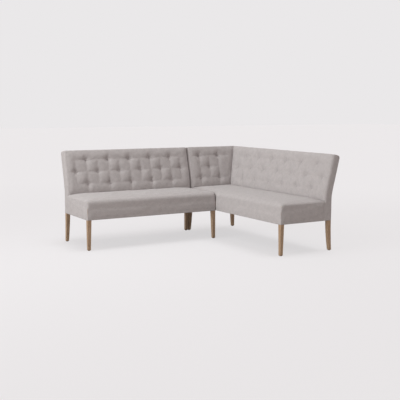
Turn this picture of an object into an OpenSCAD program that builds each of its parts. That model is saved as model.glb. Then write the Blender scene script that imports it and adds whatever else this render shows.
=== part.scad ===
// Upholstered corner banquette: a straight bench and a corner bench, linked side by side.
// Each has a timber frame on four square tapered oak legs, a webbed and padded seat and
// a curved, button-tufted back. Millimetres, Z up, origin on the floor under the middle.

/* [Benches] */
// Length of the straight bench, end to end
bench_l = 1412; // [1000:1:1900]
// Length of the corner bench along its long back
corner_l = 1698; // [1200:1:2200]
// Depth of both benches at the seat
bench_d = 594; // [560:1:640]
// Gap between the two benches
joint_gap = 6; // [4:0.5:10]
// Height of the seat at its edges
seat_h = 474; // [440:1:490]
// Thickness of the upholstered seat at its edges
seat_t = 184; // [178:1:200]
// Overall height
back_h = 912; // [890:1:950]

/* [Back] */
// Thickness of the back, square to its face
back_t = 86; // [83:0.5:96]
// Lean of the upper part of the back from upright, in degrees
rake = 14; // [10:0.5:17]
// Radius of the bend on the rear of the back
bend_r = 400; // [350:5:420]
// Height above the seat's edges at which the back starts to lean
bend_rise = 6; // [0:1:14]
// Radius of the rounded top front edge of the back
back_front_r = 16; // [10:1:20]
// Radius of the rounded top rear edge of the back
back_rear_r = 24; // [16:1:26]
// Radius of the rounded end edges of the back
back_end_r = 10; // [6:1:12]
// Soft layer over the top of the back frame
top_pad = 18; // [15:0.5:22]

/* [Tufting] */
// Distance between buttons along a row
button_pitch = 239; // [210:1:250]
// Distance between the rows of buttons
row_pitch = 120; // [100:1:124]
// Distance of the top row from the top edge
row_drop = 103; // [90:1:108]
// Least distance of a row above the plain foot of the back
row_margin = 36; // [30:1:70]
// Least distance of a button from the end of its back
button_margin = 80; // [70:1:90]
// Width of a covered button
button_d = 22; // [16:1:24]
// Height of a covered button's dome
button_h = 4; // [3:0.5:6]
// How far a tuft is pulled below the face of the back
tuft_sink = 19; // [12:0.5:20]
// Radius over which the padding falls into a tuft
tuft_r = 25; // [20:1:32]
// How far the padding swells between the buttons
tuft_puff = 5; // [2:0.5:7]
// Depth of the creases that run from each button up, down and to the sides
crease_sink = 5; // [1:0.5:7]
// Thickness of the tufting twine
twine_d = 2; // [1.5:0.1:2.5]
// Width of the toggle that the twine is tied to
toggle_d = 12; // [10:0.5:14]
// Thickness of a toggle
toggle_t = 3; // [2:0.5:4]

/* [Seat] */
// Rise of the seat from its edge to its crown
seat_crown = 12; // [6:1:16]
// Distance over which the crown rises
crown_run = 190; // [120:5:230]
// Radius of the rounded front top edge of the seat
seat_front_r = 28; // [20:1:32]
// Radius of the rounded end top edges of the seat
seat_end_r = 18; // [12:1:24]
// Radius of the seat where it meets the back
seat_rear_r = 6; // [3:1:10]
// Radius of the front corners of the seat in plan
seat_corner_r = 14; // [8:1:16]
// How far the cover is drawn in over the rails
apron_draw = 1; // [0.5:0.1:1.5]
// Soft layer of the seat cover over the foam
seat_topper = 9; // [7:0.5:12]

/* [Legs] */
// Width of a leg where it meets the upholstery
leg_w = 38; // [36:0.5:42]
// Width of a leg at its foot
leg_foot = 28; // [25:0.5:34]
// How far a rear leg sweeps back at its foot
leg_sweep = 12; // [6:0.5:16]
// Width of a glide
glide_d = 24; // [18:0.5:25]
// Height of a glide
glide_t = 5; // [3:0.5:8]
// Thickness of a glide's nail
glide_nail_d = 4; // [3:0.5:5]
// Length of a glide's nail
glide_nail_l = 18; // [12:1:24]

/* [Frame] */
// Thickness of the rails
rail_t = 22; // [21.5:0.5:25]
// Height of the seat rails
rail_h = 107; // [100:1:112]
// Height of the cross rails
cross_h = 60; // [40:1:66]
// Drop of the cross rails below the webbing
cross_drop = 24; // [15:1:30]
// Height of the lumbar rails
lumbar_h = 65; // [58:1:72]
// Gap between a frame member and the nearest toggle
toggle_gap = 6; // [3:0.5:8]
// Width of the upright slats in the back
slat_w = 40; // [30:1:50]
// Thickness of the back board
board_t = 4; // [3:0.5:5]
// Thickness of the firm foam on the back board
core_t = 15; // [12:0.5:16]
// Thickness of a corner block
block_t = 34; // [26:1:40]
// Height of a corner block
block_h = 50; // [40:1:60]
// Thickness of the dowels
dowel_d = 10; // [8:0.5:10.5]
// Length of the dowels
dowel_l = 40; // [30:1:41]
// Thickness of the leg bolts
bolt_d = 6; // [5:0.5:8]
// Depth of a leg bolt in its leg
bolt_bite = 22; // [18:1:26]
// Width of a bolt's washer
washer_d = 18; // [16:1:20]
// Thickness of a bolt's washer
washer_t = 1.6; // [1:0.1:2]
// Width of a bolt head across its corners
bolt_head_d = 12; // [10:0.5:14]
// Height of a bolt head
bolt_head_h = 4; // [3:0.5:5]

/* [Covers and webbing] */
// Thickness of the stretched cover fabric with its lining
cover_t = 2.5; // [2:0.1:3]
// Thickness of the outside back panel
outside_t = 2.2; // [1.5:0.1:2.5]
// Width of the webbing straps
strap_w = 60; // [50:1:70]
// Thickness of the webbing straps
strap_t = 1.2; // [1:0.1:1.6]
// Distance between the middles of neighbouring straps, before they are spread evenly
strap_pitch = 110; // [95:1:140]
// Thickness of the dust cover under the seat
dust_t = 1; // [0.6:0.1:1.4]
// Margin between the dust cover and the edge of the seat
dust_margin = 15; // [12:0.5:18]

/* [Linking plates] */
// Length of a linking plate, across the gap
link_l = 46; // [44:0.5:48]
// Width of a linking plate
link_w = 30; // [24:1:40]
// Thickness of a linking plate
link_t = 3; // [2:0.5:4]
// Thickness of the linking bolts
link_bolt_d = 6; // [5:0.5:6.5]
// Depth of a linking bolt in its rail
link_bolt_bite = 24; // [18:1:30]

/* [Fits] */
// Clearance between pieces that lie against each other
fit = 0.3; // [0.2:0.05:0.4]
// Clearance round bolts, dowels, nails and twine
bore_fit = 0.1; // [0.05:0.05:0.15]
// Overrun of the cuts
cut = 1; // [0.5:0.5:2]

/* [Hidden] */

// Colours as they show
cover_colour = "#b5aba7";
button_colour = "#a39a97";
oak_colour = "#a98767";
beech_colour = "#d8b98f";
ply_colour = "#c9a877";
foam_colour = "#e9e2c8";
strap_colour = "#4b463f";
dust_colour = "#26262a";
steel_colour = "#a7a9ad";
nylon_colour = "#4a4a4c";
twine_colour = "#d9cfb4";

// Sides of small round pieces, of the twine holes in the padding, and of a hexagon
round_sides = 32;
hole_sides = 6;
hex_sides = 6;

// Depths in the back, square to it and counted from its rear face
skin = cover_t + fit;
frame_w = skin + leg_w;
core_w = frame_w + board_t;
lining_w = core_w + core_t + 2 * fit;
rail_in = skin + rail_t;

// Heights in the seat
underside_h = seat_h - seat_t;
rail_top = underside_h + rail_h;
rail_mid = underside_h + rail_h / 2;
deck_z = rail_top + 2 * strap_t + fit;
foam_top = seat_h - seat_topper;

// Distances along the rear face of the back, which runs upright, round the bend and on;
// the front face stays plain up to the top of the seat
bend_h = seat_h + bend_rise;
bend_s = bend_h - underside_h;
plain_s = max(bend_s, seat_t + seat_crown);
lean_s = bend_s + bend_r * rake * PI / 180;
lean_run = back_front_r + (back_h - back_front_r - bend_h
    - (bend_r + back_t - back_front_r) * sin(rake)) / cos(rake);
back_s = lean_s + lean_run;
frame_s = back_s - top_pad;
lip_s = back_s - back_rear_r;
deck_s = deck_z - underside_h;
row_count = 1 + floor((back_s - row_drop - row_margin - plain_s) / row_pitch);
row_s = [for (i = [row_count - 1 : -1 : 0]) back_s - row_drop - i * row_pitch];
mid_row_s = row_s[floor(row_count / 2)];
top_rail_s = row_s[row_count - 1] + toggle_d / 2 + toggle_gap;

// Angle, and point [y, z], of the back at s along its rear face and w in front of it
function back_angle(s) = rake * max(0, min(1, (s - bend_s) / (lean_s - bend_s)));
function back_point(s, w) =
    let (a = back_angle(s), e = max(0, s - lean_s))
        [bend_r - (bend_r + w) * cos(a) + e * sin(a),
         min(underside_h + s, bend_h) + (bend_r + w) * sin(a) + e * cos(a)];

// Furthest rearward point of the back, on its rounded top rear edge
back_reach = back_point(lip_s, back_rear_r)[0] + back_rear_r;

// Where the two benches stand
corner_x = bench_l + joint_gap;
wall_x = corner_x + bench_d;
middle_x = (wall_x + back_reach) / 2;
middle_y = (back_reach - corner_l) / 2;
tall = back_h + cut;
wide = bench_l + corner_l;

module at_bench() {
    translate([-middle_x, -middle_y, 0]) children();
}

// The corner bench as a straight bench of length corner_l, its left end at the wall
module at_corner() {
    translate([wall_x - middle_x, -middle_y, 0]) rotate([0, 0, -90]) children();
}

// The short back as a straight back of length bench_d, its right end at the wall corner
module at_short() {
    translate([corner_x - middle_x, -middle_y, 0]) children();
}

// A left-hand piece mirrored to the right-hand end of a bench of length l
module at_right(l) {
    translate([l, 0, 0]) mirror([1, 0, 0]) children();
}

// A piece at each end of a bench of length l
module both_ends(l) {
    children();
    at_right(l) children();
}

// A front piece, and its mirror image at the rear
module both_sides() {
    children();
    translate([0, -bench_d, 0]) mirror([0, 1, 0]) children();
}

// A piece turned to stand square on the back, its +Z up the back and its -Y out of it
module on_back(x, s, w) {
    p = back_point(s, w);
    translate([x, p[0], p[1]]) rotate([-back_angle(s), 0, 0]) children();
}

// A bar along X with a section of points [y, z]
module bar_x(section, x0, x1) {
    translate([x0, 0, 0]) rotate([90, 0, 90]) linear_extrude(x1 - x0) polygon(section);
}

// A bar along Y with a section of points [x, z]
module bar_y(section, y0, y1) {
    translate([0, y1, 0]) rotate([90, 0, 0]) linear_extrude(y1 - y0) polygon(section);
}

function reversed(v) = [for (i = [len(v) - 1 : -1 : 0]) v[i]];

// Stations up the back from s0 to s1, with the bend in even steps
bend_steps = 8;
function stations(s0, s1) = concat([s0],
    [for (i = [0 : bend_steps])
        let (s = bend_s + (lean_s - bend_s) * i / bend_steps)
            if (s > s0 + fit && s < s1 - fit) s],
    [s1]);

// Section [y, z] of a layer of the back
function layer(s0, s1, w0, w1) = concat(
    [for (s = stations(s0, s1)) back_point(s, w0)],
    [for (s = reversed(stations(s0, s1))) back_point(s, w1)]);

// What is kept of a back whose left end is mitred into the wall corner
module mitre_left(gap) {
    reach = back_reach + cut;
    translate([0, 0, -cut])
        linear_extrude(tall + cut)
            polygon([[gap - reach, reach], [wide, reach],
                     [wide, -wide], [gap + wide, -wide]]);
}

// A layer of a back of length l, set in from its free ends and cut at its mitred ones
module back_layer(l, s0, s1, w0, w1, inset, left = false, right = false, gap = fit / 2) {
    reach = back_reach + cut;
    x0 = left ? -reach : inset;
    x1 = right ? l + reach : l - inset;
    if (left) {
        intersection() {
            bar_x(layer(s0, s1, w0, w1), x0, x1);
            mitre_left(gap);
        }
    } else if (right) {
        intersection() {
            bar_x(layer(s0, s1, w0, w1), x0, x1);
            at_right(l) mitre_left(gap);
        }
    } else {
        bar_x(layer(s0, s1, w0, w1), x0, x1);
    }
}

// Buttons [x, s] of a back, spread evenly between x0 and x1; the second row
// from the top has the most buttons where long_mid is true, and the top row otherwise
function button_places(x0, x1, long_mid) =
    let (n = 1 + floor((x1 - x0 - 2 * button_margin) / button_pitch),
         first = (x0 + x1 - (n - 1) * button_pitch) / 2)
        [for (r = [0 : row_count - 1])
            let (short = ((row_count - r) % 2 == 0) == long_mid ? 0 : 1)
                for (i = [0 : n - 1 - short])
                    [first + (i + short / 2) * button_pitch, row_s[r]]];

mitre_mid = -back_point(mid_row_s, back_t)[0];
bench_buttons_at = button_places(0, bench_l, true);
long_buttons_at = button_places(mitre_mid, corner_l, true);
short_buttons_at = button_places(0, bench_d - back_t, false);

// Height of the padding over the plain face of the back, at x and s: hollows at the
// buttons, creases that run square from them, and swells between
function hollow(d) = exp(-pow(d / tuft_r, 2));
function tuft_height(x, s, at, edge) =
    let (away = [for (b = at) [abs(x - b[0]), abs(s - b[1])]],
         d = min([for (a = away) norm(a)]),
         crease = max([for (a = away)
             max(hollow(a[0]) * exp(-a[1] / row_pitch), hollow(a[1]) * exp(-a[0] / row_pitch))]))
        edge * (tuft_puff * (1 - hollow(d / 2)) - crease_sink * crease * (1 - hollow(d)))
            - tuft_sink * hollow(d);

// Steepest slope of a tuft, which the back of a button follows
cell_x = button_pitch / 6;
cell_s = row_pitch / 4;
tuft_slope = tuft_sink * norm([(1 - hollow(cell_x)) / cell_x, (1 - hollow(cell_s)) / cell_s])
    + tuft_puff / tuft_r / 4;

// Depth of the back of a button, and width of the hole for its twine
button_w = back_t - tuft_sink + fit + tuft_slope * twine_d / 2;
twine_hole_d = twine_d + 2 * bore_fit;

// Steps round a rounded edge, from its face to its top, with one at the true extreme
edge_turns = [0, (90 - rake) / 2, 90 - rake, 90];
end_turns = [0, 45, 90];

// Columns [x at an upright end, share that follows a mitre] across a back
function columns(l, at, left, right) =
    let (rows = [for (b = at) b[0]],
         x0 = min(rows),
         x1 = max(rows),
         clear = back_t + tuft_puff + fit,
         keep = 3 * back_end_r,
         n0 = floor((x0 - (left ? clear : keep)) / cell_x),
         n1 = floor((l - x1 - (right ? clear : keep)) / cell_x),
         c0 = x0 - n0 * cell_x,
         c1 = x1 + n1 * cell_x,
         n = round((c1 - c0) / cell_x))
        concat(
            left ? [for (i = [0 : 2]) [c0 * i / 3, 1 - i / 3]]
                 : [for (t = end_turns) [back_end_r * (1 - cos(t)), 0]],
            [for (i = [0 : n]) [c0 + i * cell_x, 0]],
            right ? [for (i = [1 : 3]) [c1 + (l - c1) * i / 3, -i / 3]]
                  : [for (t = reversed(end_turns)) [l - back_end_r * (1 - cos(t)), 0]]);

// Rise of a rounded end edge at x, and how fully the padding swells there
function end_drop(x, l, left, right) =
    let (d = min(left ? back_end_r : x, right ? back_end_r : l - x))
        d >= back_end_r ? 0 : back_end_r - sqrt(max(0, pow(back_end_r, 2) - pow(back_end_r - d, 2)));
function swell(x, l) = min(1, max(0, min(x, l - x) - back_end_r) / tuft_r);

// Point of the tufted face in column c at s, drawn in by dw and dx at the top edge
function face_point(c, s, dw, fade, l, at, left, right) =
    let (x = c[0],
         edge = min(swell(x, l), max(0, min(1, (back_s - back_front_r - s) / tuft_r))),
         h = tuft_height(x, s, at, edge) * fade,
         w = back_t - dw - end_drop(x, l, left, right) + h,
         p = back_point(s, w),
         q = c[1] * (fit / 2 - p[0]))
        [x + q, p[0], p[1]];

// Rows [s, how far the face is drawn in, how fully it is tufted] up the face of a back
low_rows = 4;
function face_rows() = concat(
    [for (s = [0, deck_s, plain_s]) [s, 0, 0]],
    [for (i = [1 : low_rows - 1]) [plain_s + (row_s[0] - plain_s) * i / low_rows, 0, 1]],
    [for (s = [row_s[0] : cell_s : back_s - back_front_r - cell_s / 3]) [s, 0, 1]],
    [for (t = edge_turns)
        [back_s - back_front_r * (1 - sin(t)), back_front_r * (1 - cos(t)), cos(t)]]);

// Rows of the rear face, which meets the tufted face at the top
function rear_rows(n) =
    let (m = len(edge_turns), r = face_rows())
        [for (i = [0 : n - 1])
            i < n - m
                ? [min(r[i][0], lip_s), 0]
                : let (t = edge_turns[i - n + m])
                    [lip_s + back_rear_r * sin(t), back_rear_r * (1 - cos(t))]];

function rear_point(x, follow, r) =
    let (p = back_point(r[0], r[1]))
        [x + follow * (fit / 2 - p[0]), p[0], p[1]];

// Closed form of a padded back: rings of points, each run from the rear left corner
// along the face to the rear right one, and a fan over each end of the stack
module padded_back(l, at, left, right) {
    cols = columns(l, at, left, right);
    rows = face_rows();
    rears = rear_rows(len(rows));
    n = len(cols) + 2;
    last = len(rows) - 1;
    rings = [for (i = [0 : last]) concat(
        [rear_point(0, left ? 1 : 0, rears[i])],
        [for (c = cols) face_point(c, rows[i][0], rows[i][1], rows[i][2], l, at, left, right)],
        [rear_point(l, right ? -1 : 0, rears[i])])];
    ends = [(rings[0][0] + rings[0][n - 1] + rings[0][1] + rings[0][n - 2]) / 4,
            (rings[last][0] + rings[last][n - 1] + rings[last][1] + rings[last][n - 2]) / 4];
    points = concat([for (r = rings) each r], ends);
    low = n * len(rings);
    faces = concat(
        [for (i = [0 : last - 1]) for (j = [0 : n - 1])
            let (k = (j + 1) % n, a = i * n + j, b = i * n + k)
                each [[a, a + n, b], [b, a + n, b + n]]],
        [for (j = [0 : n - 1]) [low, j, (j + 1) % n]],
        [for (j = [0 : n - 1]) [low + 1, last * n + (j + 1) % n, last * n + j]]);
    polyhedron(points, faces, convexity = 8);
}

// Cover of a back with its padding, hollow for the frame, the board and the foam
module back_cover(l, at, left = false, right = false) {
    color(cover_colour)
        difference() {
            padded_back(l, at, left, right);
            back_layer(l, -cut, lip_s, -cut, lining_w, cover_t, left, right, -cut);
            back_layer(l, -cut, frame_s + fit, cover_t, lining_w, cover_t, left, right, -cut);
            back_layer(l, -cut, deck_s, -cut, back_t + cut, cover_t, left, right, -cut);
            for (b = at)
                on_back(b[0], b[1], 0)
                    rotate([90, 0, 0])
                        cylinder(h = back_t, d = twine_hole_d / cos(180 / hole_sides),
                            $fn = hole_sides);
        }
}

module outside_back(l, left = false, right = false) {
    color(cover_colour)
        back_layer(l, 0, lip_s - fit, 0, outside_t, skin, left, right);
}

// Covered buttons, each with a back that follows the tuft it sits in
module buttons(at) {
    rim = tuft_slope * (button_d - twine_d) / 2;
    color(button_colour)
        for (b = at)
            on_back(b[0], b[1], button_w)
                rotate([90, 0, 0]) {
                    cylinder(h = rim, d1 = twine_d, d2 = button_d, $fn = round_sides);
                    translate([0, 0, rim]) dome(button_d, button_h);
                }
}

// Dome of width d and height h, as a cap of a ball
module dome(d, h) {
    r = (d * d / 4 + h * h) / (2 * h);
    rise = asin(d / 2 / r);
    steps = 5;
    rotate_extrude($fn = round_sides)
        polygon(concat([[0, 0]],
            [for (i = [0 : steps])
                let (a = rise * (1 - i / steps)) [r * sin(a), r * cos(a) - r + h]]));
}

// Twine from each button through the padding and the board to its toggle
module button_ties(at) {
    back_w = frame_w - fit - toggle_t;
    color(twine_colour)
        for (b = at)
            on_back(b[0], b[1], back_w)
                rotate([90, 0, 0]) {
                    cylinder(h = toggle_t, d = toggle_d);
                    cylinder(h = button_w - back_w, d = twine_d);
                }
}

module tie_holes(at) {
    for (b = at)
        on_back(b[0], b[1], frame_w - cut)
            rotate([90, 0, 0])
                cylinder(h = board_t + core_t + 2 * cut, d = twine_hole_d);
}

module back_board(l, at, left = false, right = false) {
    color(ply_colour)
        difference() {
            back_layer(l, deck_s, frame_s, frame_w, core_w, skin, left, right);
            tie_holes(at);
        }
}

module back_foam(l, at, left = false, right = false) {
    color(foam_colour)
        difference() {
            back_layer(l, deck_s, frame_s, core_w + fit, core_w + core_t + fit, skin, left, right);
            tie_holes(at);
        }
}

// Section [y, z] of a rear leg, swept back below the seat and bent with the back above it
sweep_steps = 5;
function rear_leg_section() =
    let (drop = underside_h - glide_t,
         foot = [for (i = [0 : sweep_steps - 1]) 1 - i / sweep_steps])
        concat(
            [for (t = foot) [leg_sweep * t * t - skin, underside_h - drop * t]],
            layer(0, frame_s, skin, frame_w),
            [for (t = reversed(foot))
                [(leg_sweep + leg_w - leg_foot) * t * t - frame_w, underside_h - drop * t]]);

// Section [x, z] of a leg that tapers on its inner face, up to height z1
function taper_section(z1) = [
    [skin, glide_t], [skin + leg_foot, glide_t], [frame_w, underside_h],
    [frame_w, z1], [skin, z1]];

// Section [x, z] of a section [y, z] that leans out beyond the left end of a back
function turned(section) = [for (p = section) [-p[0], p[1]]];

module rear_leg_form() {
    intersection() {
        bar_x(rear_leg_section(), 0, bench_d);
        bar_y(taper_section(tall), -bench_d, bench_d);
    }
}

// The leg at the wall corner, bent and swept both ways
module corner_leg_form() {
    intersection() {
        bar_x(rear_leg_section(), -bench_d, bench_d);
        bar_y(turned(rear_leg_section()), -bench_d, bench_d);
    }
}

// Shares of a rail's height at which its dowels sit
seat_dowel_shares = [0.25, 0.75];
back_dowel_shares = [0.2, 0.6];
short_dowel_shares = [0.4, 0.8];

// Middles of the cross rails of a bench of length l, as shares of it
cross_shares = [0.34, 0.66];

module dowel(extra) {
    translate([0, 0, -dowel_l / 2 - extra])
        cylinder(h = dowel_l + 2 * extra, d = dowel_d + 2 * extra);
}

// Dowels of the seat frame of a bench of length l
module seat_dowels(l, extra = 0) {
    mid = skin + rail_t / 2;
    for (share = seat_dowel_shares) {
        z = underside_h + rail_h * share;
        cz = rail_top - cross_drop - cross_h * share;
        both_ends(l)
            both_sides() {
                translate([frame_w, -mid, z]) rotate([0, 90, 0]) dowel(extra);
                translate([mid, -frame_w, z]) rotate([90, 0, 0]) dowel(extra);
            }
        both_sides()
            for (c = cross_shares)
                translate([l * c, -rail_in, cz]) rotate([90, 0, 0]) dowel(extra);
    }
}

// Dowels at one end of the rails of a back; the end stands upright, or leans with the
// other back where it is mitred
module back_end_dowels(shares, leaning, extra) {
    w = frame_w - rail_t / 2;
    for (run = [[deck_s, lumbar_h], [top_rail_s, frame_s - top_rail_s]])
        for (share = shares) {
            s = run[0] + run[1] * share;
            x = leaning ? -back_point(s, frame_w)[0] : frame_w;
            on_back(x, s, w) rotate([0, 90, 0]) dowel(extra);
        }
}

module back_dowels(l, shares, left = false, right = false, extra = 0) {
    back_end_dowels(shares, left, extra);
    at_right(l) back_end_dowels(shares, right, extra);
}

// Distances of a corner block's two slanted faces, as x + y from the corner
block_near = 2 * frame_w + fit;
block_far = block_near + block_t * sqrt(2);

// A leg bolt lies along the diagonal of its corner, with its head behind the block
module leg_bolt(extra = 0) {
    run = block_t + bolt_bite + fit / sqrt(2);
    translate([block_far / 2, -block_far / 2, rail_mid])
        rotate([0, 0, 135])
            rotate([0, 90, 0]) {
                translate([0, 0, -washer_t - extra])
                    cylinder(h = run + washer_t + 2 * extra, d = bolt_d + 2 * extra);
                if (extra == 0) {
                    translate([0, 0, -washer_t]) cylinder(h = washer_t, d = washer_d);
                    translate([0, 0, -washer_t - bolt_head_h])
                        cylinder(h = bolt_head_h, d = bolt_head_d, $fn = hex_sides);
                }
            }
}

module leg_bolts(l, extra = 0) {
    both_ends(l) both_sides() leg_bolt(extra);
}

module corner_blocks(l) {
    color(beech_colour)
        difference() {
            both_ends(l)
                both_sides()
                    translate([0, 0, rail_mid - block_h / 2])
                        linear_extrude(block_h)
                            polygon([[rail_in, rail_in - block_near], [rail_in, rail_in - block_far],
                                     [block_far - rail_in, -rail_in],
                                     [block_near - rail_in, -rail_in]]);
            leg_bolts(l, bore_fit);
        }
}

// Feet of the four legs: [x, y] of each foot's middle
foot_in = skin + leg_foot / 2;
foot_out = skin - leg_sweep + leg_foot / 2;
bench_feet = [[foot_in, foot_in - bench_d], [bench_l - foot_in, foot_in - bench_d],
              [foot_in, -foot_out], [bench_l - foot_in, -foot_out]];
corner_feet = [[corner_l - foot_in, foot_in - bench_d], [foot_out, foot_in - bench_d],
               [corner_l - foot_in, -foot_out], [foot_out, -foot_out]];

module glides(feet) {
    color(nylon_colour)
        for (f = feet)
            translate([f[0], f[1], 0]) {
                cylinder(h = glide_t, d = glide_d);
                cylinder(h = glide_t + glide_nail_l, d = glide_nail_d);
            }
}

module nail_holes(feet) {
    for (f = feet)
        translate([f[0], f[1], 0])
            cylinder(h = glide_t + glide_nail_l + bore_fit, d = glide_nail_d + 2 * bore_fit);
}

// The short back's frame, as it lies in the corner bench's own
module short_in_corner() {
    translate([0, -bench_d, 0]) rotate([0, 0, 90]) children();
}

// All the holes in the timber of each bench
module bench_holes() {
    seat_dowels(bench_l, bore_fit);
    back_dowels(bench_l, back_dowel_shares, extra = bore_fit);
    leg_bolts(bench_l, bore_fit);
    nail_holes(bench_feet);
}

module corner_holes() {
    seat_dowels(corner_l, bore_fit);
    back_dowels(corner_l, back_dowel_shares, left = true, extra = bore_fit);
    short_in_corner()
        back_dowels(bench_d, short_dowel_shares, right = true, extra = bore_fit);
    leg_bolts(corner_l, bore_fit);
    nail_holes(corner_feet);
}

module oak() {
    color(oak_colour) children();
}

module beech() {
    color(beech_colour) children();
}

// Leg at the front left of a bench, tapered on both inner faces
module front_leg_form() {
    intersection() {
        bar_y(taper_section(rail_top), -bench_d, 0);
        translate([0, -bench_d, 0])
            mirror([1, -1, 0])
                bar_y(taper_section(rail_top), 0, bench_d);
    }
}

// Rail along the front of a bench of length l
module front_rail_form(l) {
    translate([frame_w, skin - bench_d, underside_h])
        cube([l - 2 * frame_w, rail_t, rail_h]);
}

module rear_rail_form(l) {
    translate([frame_w, -rail_in, underside_h])
        cube([l - 2 * frame_w, rail_t, rail_h]);
}

module end_rail_form() {
    translate([skin, frame_w - bench_d, underside_h])
        cube([rail_t, bench_d - 2 * frame_w, rail_h]);
}

module cross_rail_forms(l) {
    for (c = cross_shares)
        translate([l * c - rail_t / 2, rail_in - bench_d, rail_top - cross_drop - cross_h])
            cube([rail_t, bench_d - 2 * rail_in, cross_h]);
}

// Space in front of a back that leans out beyond the left end of another
module beside_leaning_back() {
    bar_y(turned(layer(0, frame_s, frame_w + fit, frame_w + wide)), -bench_d, bench_d);
}

// Rail of a back from s0 to s1, ending against its two uprights
module back_rail_form(l, s0, s1, left = false, right = false) {
    intersection() {
        bar_x(layer(s0, s1, frame_w - rail_t, frame_w),
            left ? -back_reach : frame_w,
            right ? l + back_reach : l - frame_w);
        if (left) beside_leaning_back();
        if (right) at_right(l) beside_leaning_back();
    }
}

// Upright slats of a back, each a quarter of a pitch clear of every button
module slat_forms(at) {
    rows = [for (b = at) if (b[1] == mid_row_s) b[0]];
    n = len(rows);
    quarter_shares = n > 6 ? [1.25, 3.25, n - 2.25] : [1.25, n - 2.25];
    for (q = quarter_shares) {
        x = rows[0] + q * button_pitch;
        bar_x(layer(deck_s + lumbar_h, top_rail_s, frame_w - rail_t, frame_w),
            x - slat_w / 2, x + slat_w / 2);
    }
}

// Section [a, z] of a slab with its top edges rounded to r0 and r1
slab_turns = [0, 22.5, 45, 67.5, 90];
function slab_section(a0, a1, r0, r1, z0, z1) = concat(
    [[a0, z0]],
    [for (t = slab_turns) [a0 + r0 * (1 - cos(t)), z1 - r0 * (1 - sin(t))]],
    [for (t = reversed(slab_turns)) [a1 - r1 * (1 - cos(t)), z1 - r1 * (1 - sin(t))]],
    [[a1, z0]]);

// Foam of a seat from x0 to x1, or the hollow for it: grown by extra, and run down to z0
module seat_slab(x0, x1, y1, z0, r0, extra) {
    intersection() {
        bar_x(slab_section(skin - extra - bench_d, y1, seat_front_r, 0, z0, foam_top + extra),
            x0 - extra, x1 + extra);
        bar_y(slab_section(x0 - extra, x1 + extra, r0, seat_end_r, z0, foam_top + extra),
            -bench_d, cut);
    }
}

module seat_foam(l, x0, r0) {
    color(foam_colour) seat_slab(x0, l - skin, -back_t - 2 * fit, deck_z, r0, 0);
}

// How far a rounded top edge of radius r has fallen at a distance d from its face
function edge_fall(d, r) = d >= r ? 0 : r - sqrt(r * r - (r - d) * (r - d));
function crown(d) = sin(90 * min(1, max(0, d) / crown_run));

// Stations from a to b across a seat, close together at its edges and up its crown
seat_turns = [0, 30, 60, 90];
crown_shares = [0.25, 0.5, 0.75];
function across(a, b, ra, rb) =
    let (run = min(crown_run, (b - a - ra - rb) / 2)) concat(
        [for (t = seat_turns) a + ra * (1 - cos(t))],
        [for (c = crown_shares) a + ra + run * c],
        [(a + b) / 2],
        [for (c = reversed(crown_shares)) b - rb - run * c],
        [for (t = reversed(seat_turns)) b - rb * (1 - cos(t))]);

// Point of a seat's top with its front corners rounded in plan, where the end is free
function seat_point(x, y, x0, x1, y0, y1, r0, left) =
    let (dl = x - x0,
         dr = x1 - x,
         df = y - y0,
         z = seat_h - max(edge_fall(dl, r0), edge_fall(dr, seat_end_r),
                          edge_fall(df, seat_front_r), edge_fall(y1 - y, seat_rear_r))
             + seat_crown * crown(left ? min(dl, dr) : dr) * crown(df),
         a = seat_corner_r - (dl < dr ? dl : dr),
         b = seat_corner_r - df,
         turn = a > 0 && b > 0 && (dr < dl || left) ? max(a, b) / norm([a, b]) : 1,
         side = dl < dr ? 1 : -1)
        [x + side * a * (1 - turn), y + b * (1 - turn), z];

// Closed form of a seat: a grid over its crowned top, a drawn-in skirt and a flat base
skirt_shares = [0.12, 0.45, 0.8, 1];
module padded_seat(l, x0, r0, left) {
    y0 = -bench_d;
    y1 = -back_t - fit;
    xs = across(x0, l, r0, seat_end_r);
    ys = across(y0, y1, seat_front_r, seat_rear_r);
    nx = len(xs);
    ny = len(ys);
    top = [for (y = ys) for (x = xs) seat_point(x, y, x0, l, y0, y1, r0, left)];
    loop = concat(
        [for (i = [0 : nx - 2]) [i, 0]], [for (j = [0 : ny - 2]) [nx - 1, j]],
        [for (i = [nx - 1 : -1 : 1]) [i, ny - 1]], [for (j = [ny - 1 : -1 : 1]) [0, j]]);
    n = len(loop);
    skirt = [for (k = skirt_shares) for (c = loop)
        let (p = top[c[1] * nx + c[0]],
             draw = apron_draw * sin(180 * min(1, k)) + apron_draw * k / 4,
             sx = c[0] == 0 && left ? 1 : c[0] == nx - 1 ? -1 : 0,
             sy = c[1] == 0 ? 1 : 0)
            [p[0] + sx * draw, p[1] + sy * draw, p[2] + (underside_h - p[2]) * k]];
    base = nx * ny;
    m = len(skirt_shares);
    rim = [for (c = loop) c[1] * nx + c[0]];
    ring = concat([rim], [for (k = [0 : m - 1]) [for (i = [0 : n - 1]) base + k * n + i]]);
    hub = base + m * n;
    faces = concat(
        [for (j = [0 : ny - 2]) for (i = [0 : nx - 2])
            let (a = j * nx + i)
                each [[a, a + nx, a + 1], [a + 1, a + nx, a + nx + 1]]],
        [for (k = [0 : m - 1]) for (i = [0 : n - 1])
            let (j = (i + 1) % n)
                each [[ring[k][i], ring[k][j], ring[k + 1][i]],
                      [ring[k][j], ring[k + 1][j], ring[k + 1][i]]]],
        [for (i = [0 : n - 1]) [hub, ring[m][i], ring[m][(i + 1) % n]]]);
    polyhedron(concat(top, skirt, [[(x0 + l) / 2, (y0 + y1) / 2, underside_h]]), faces,
        convexity = 6);
}

// Seat cover with its padding, hollow for the foam and the frame, open at the back
module seat_cover(l, x0, r0, left) {
    color(cover_colour)
        difference() {
            padded_seat(l, x0, r0, left);
            seat_slab(left ? skin : 0, l - skin, cut, underside_h - cut, left ? r0 : 0, fit);
        }
}

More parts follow.
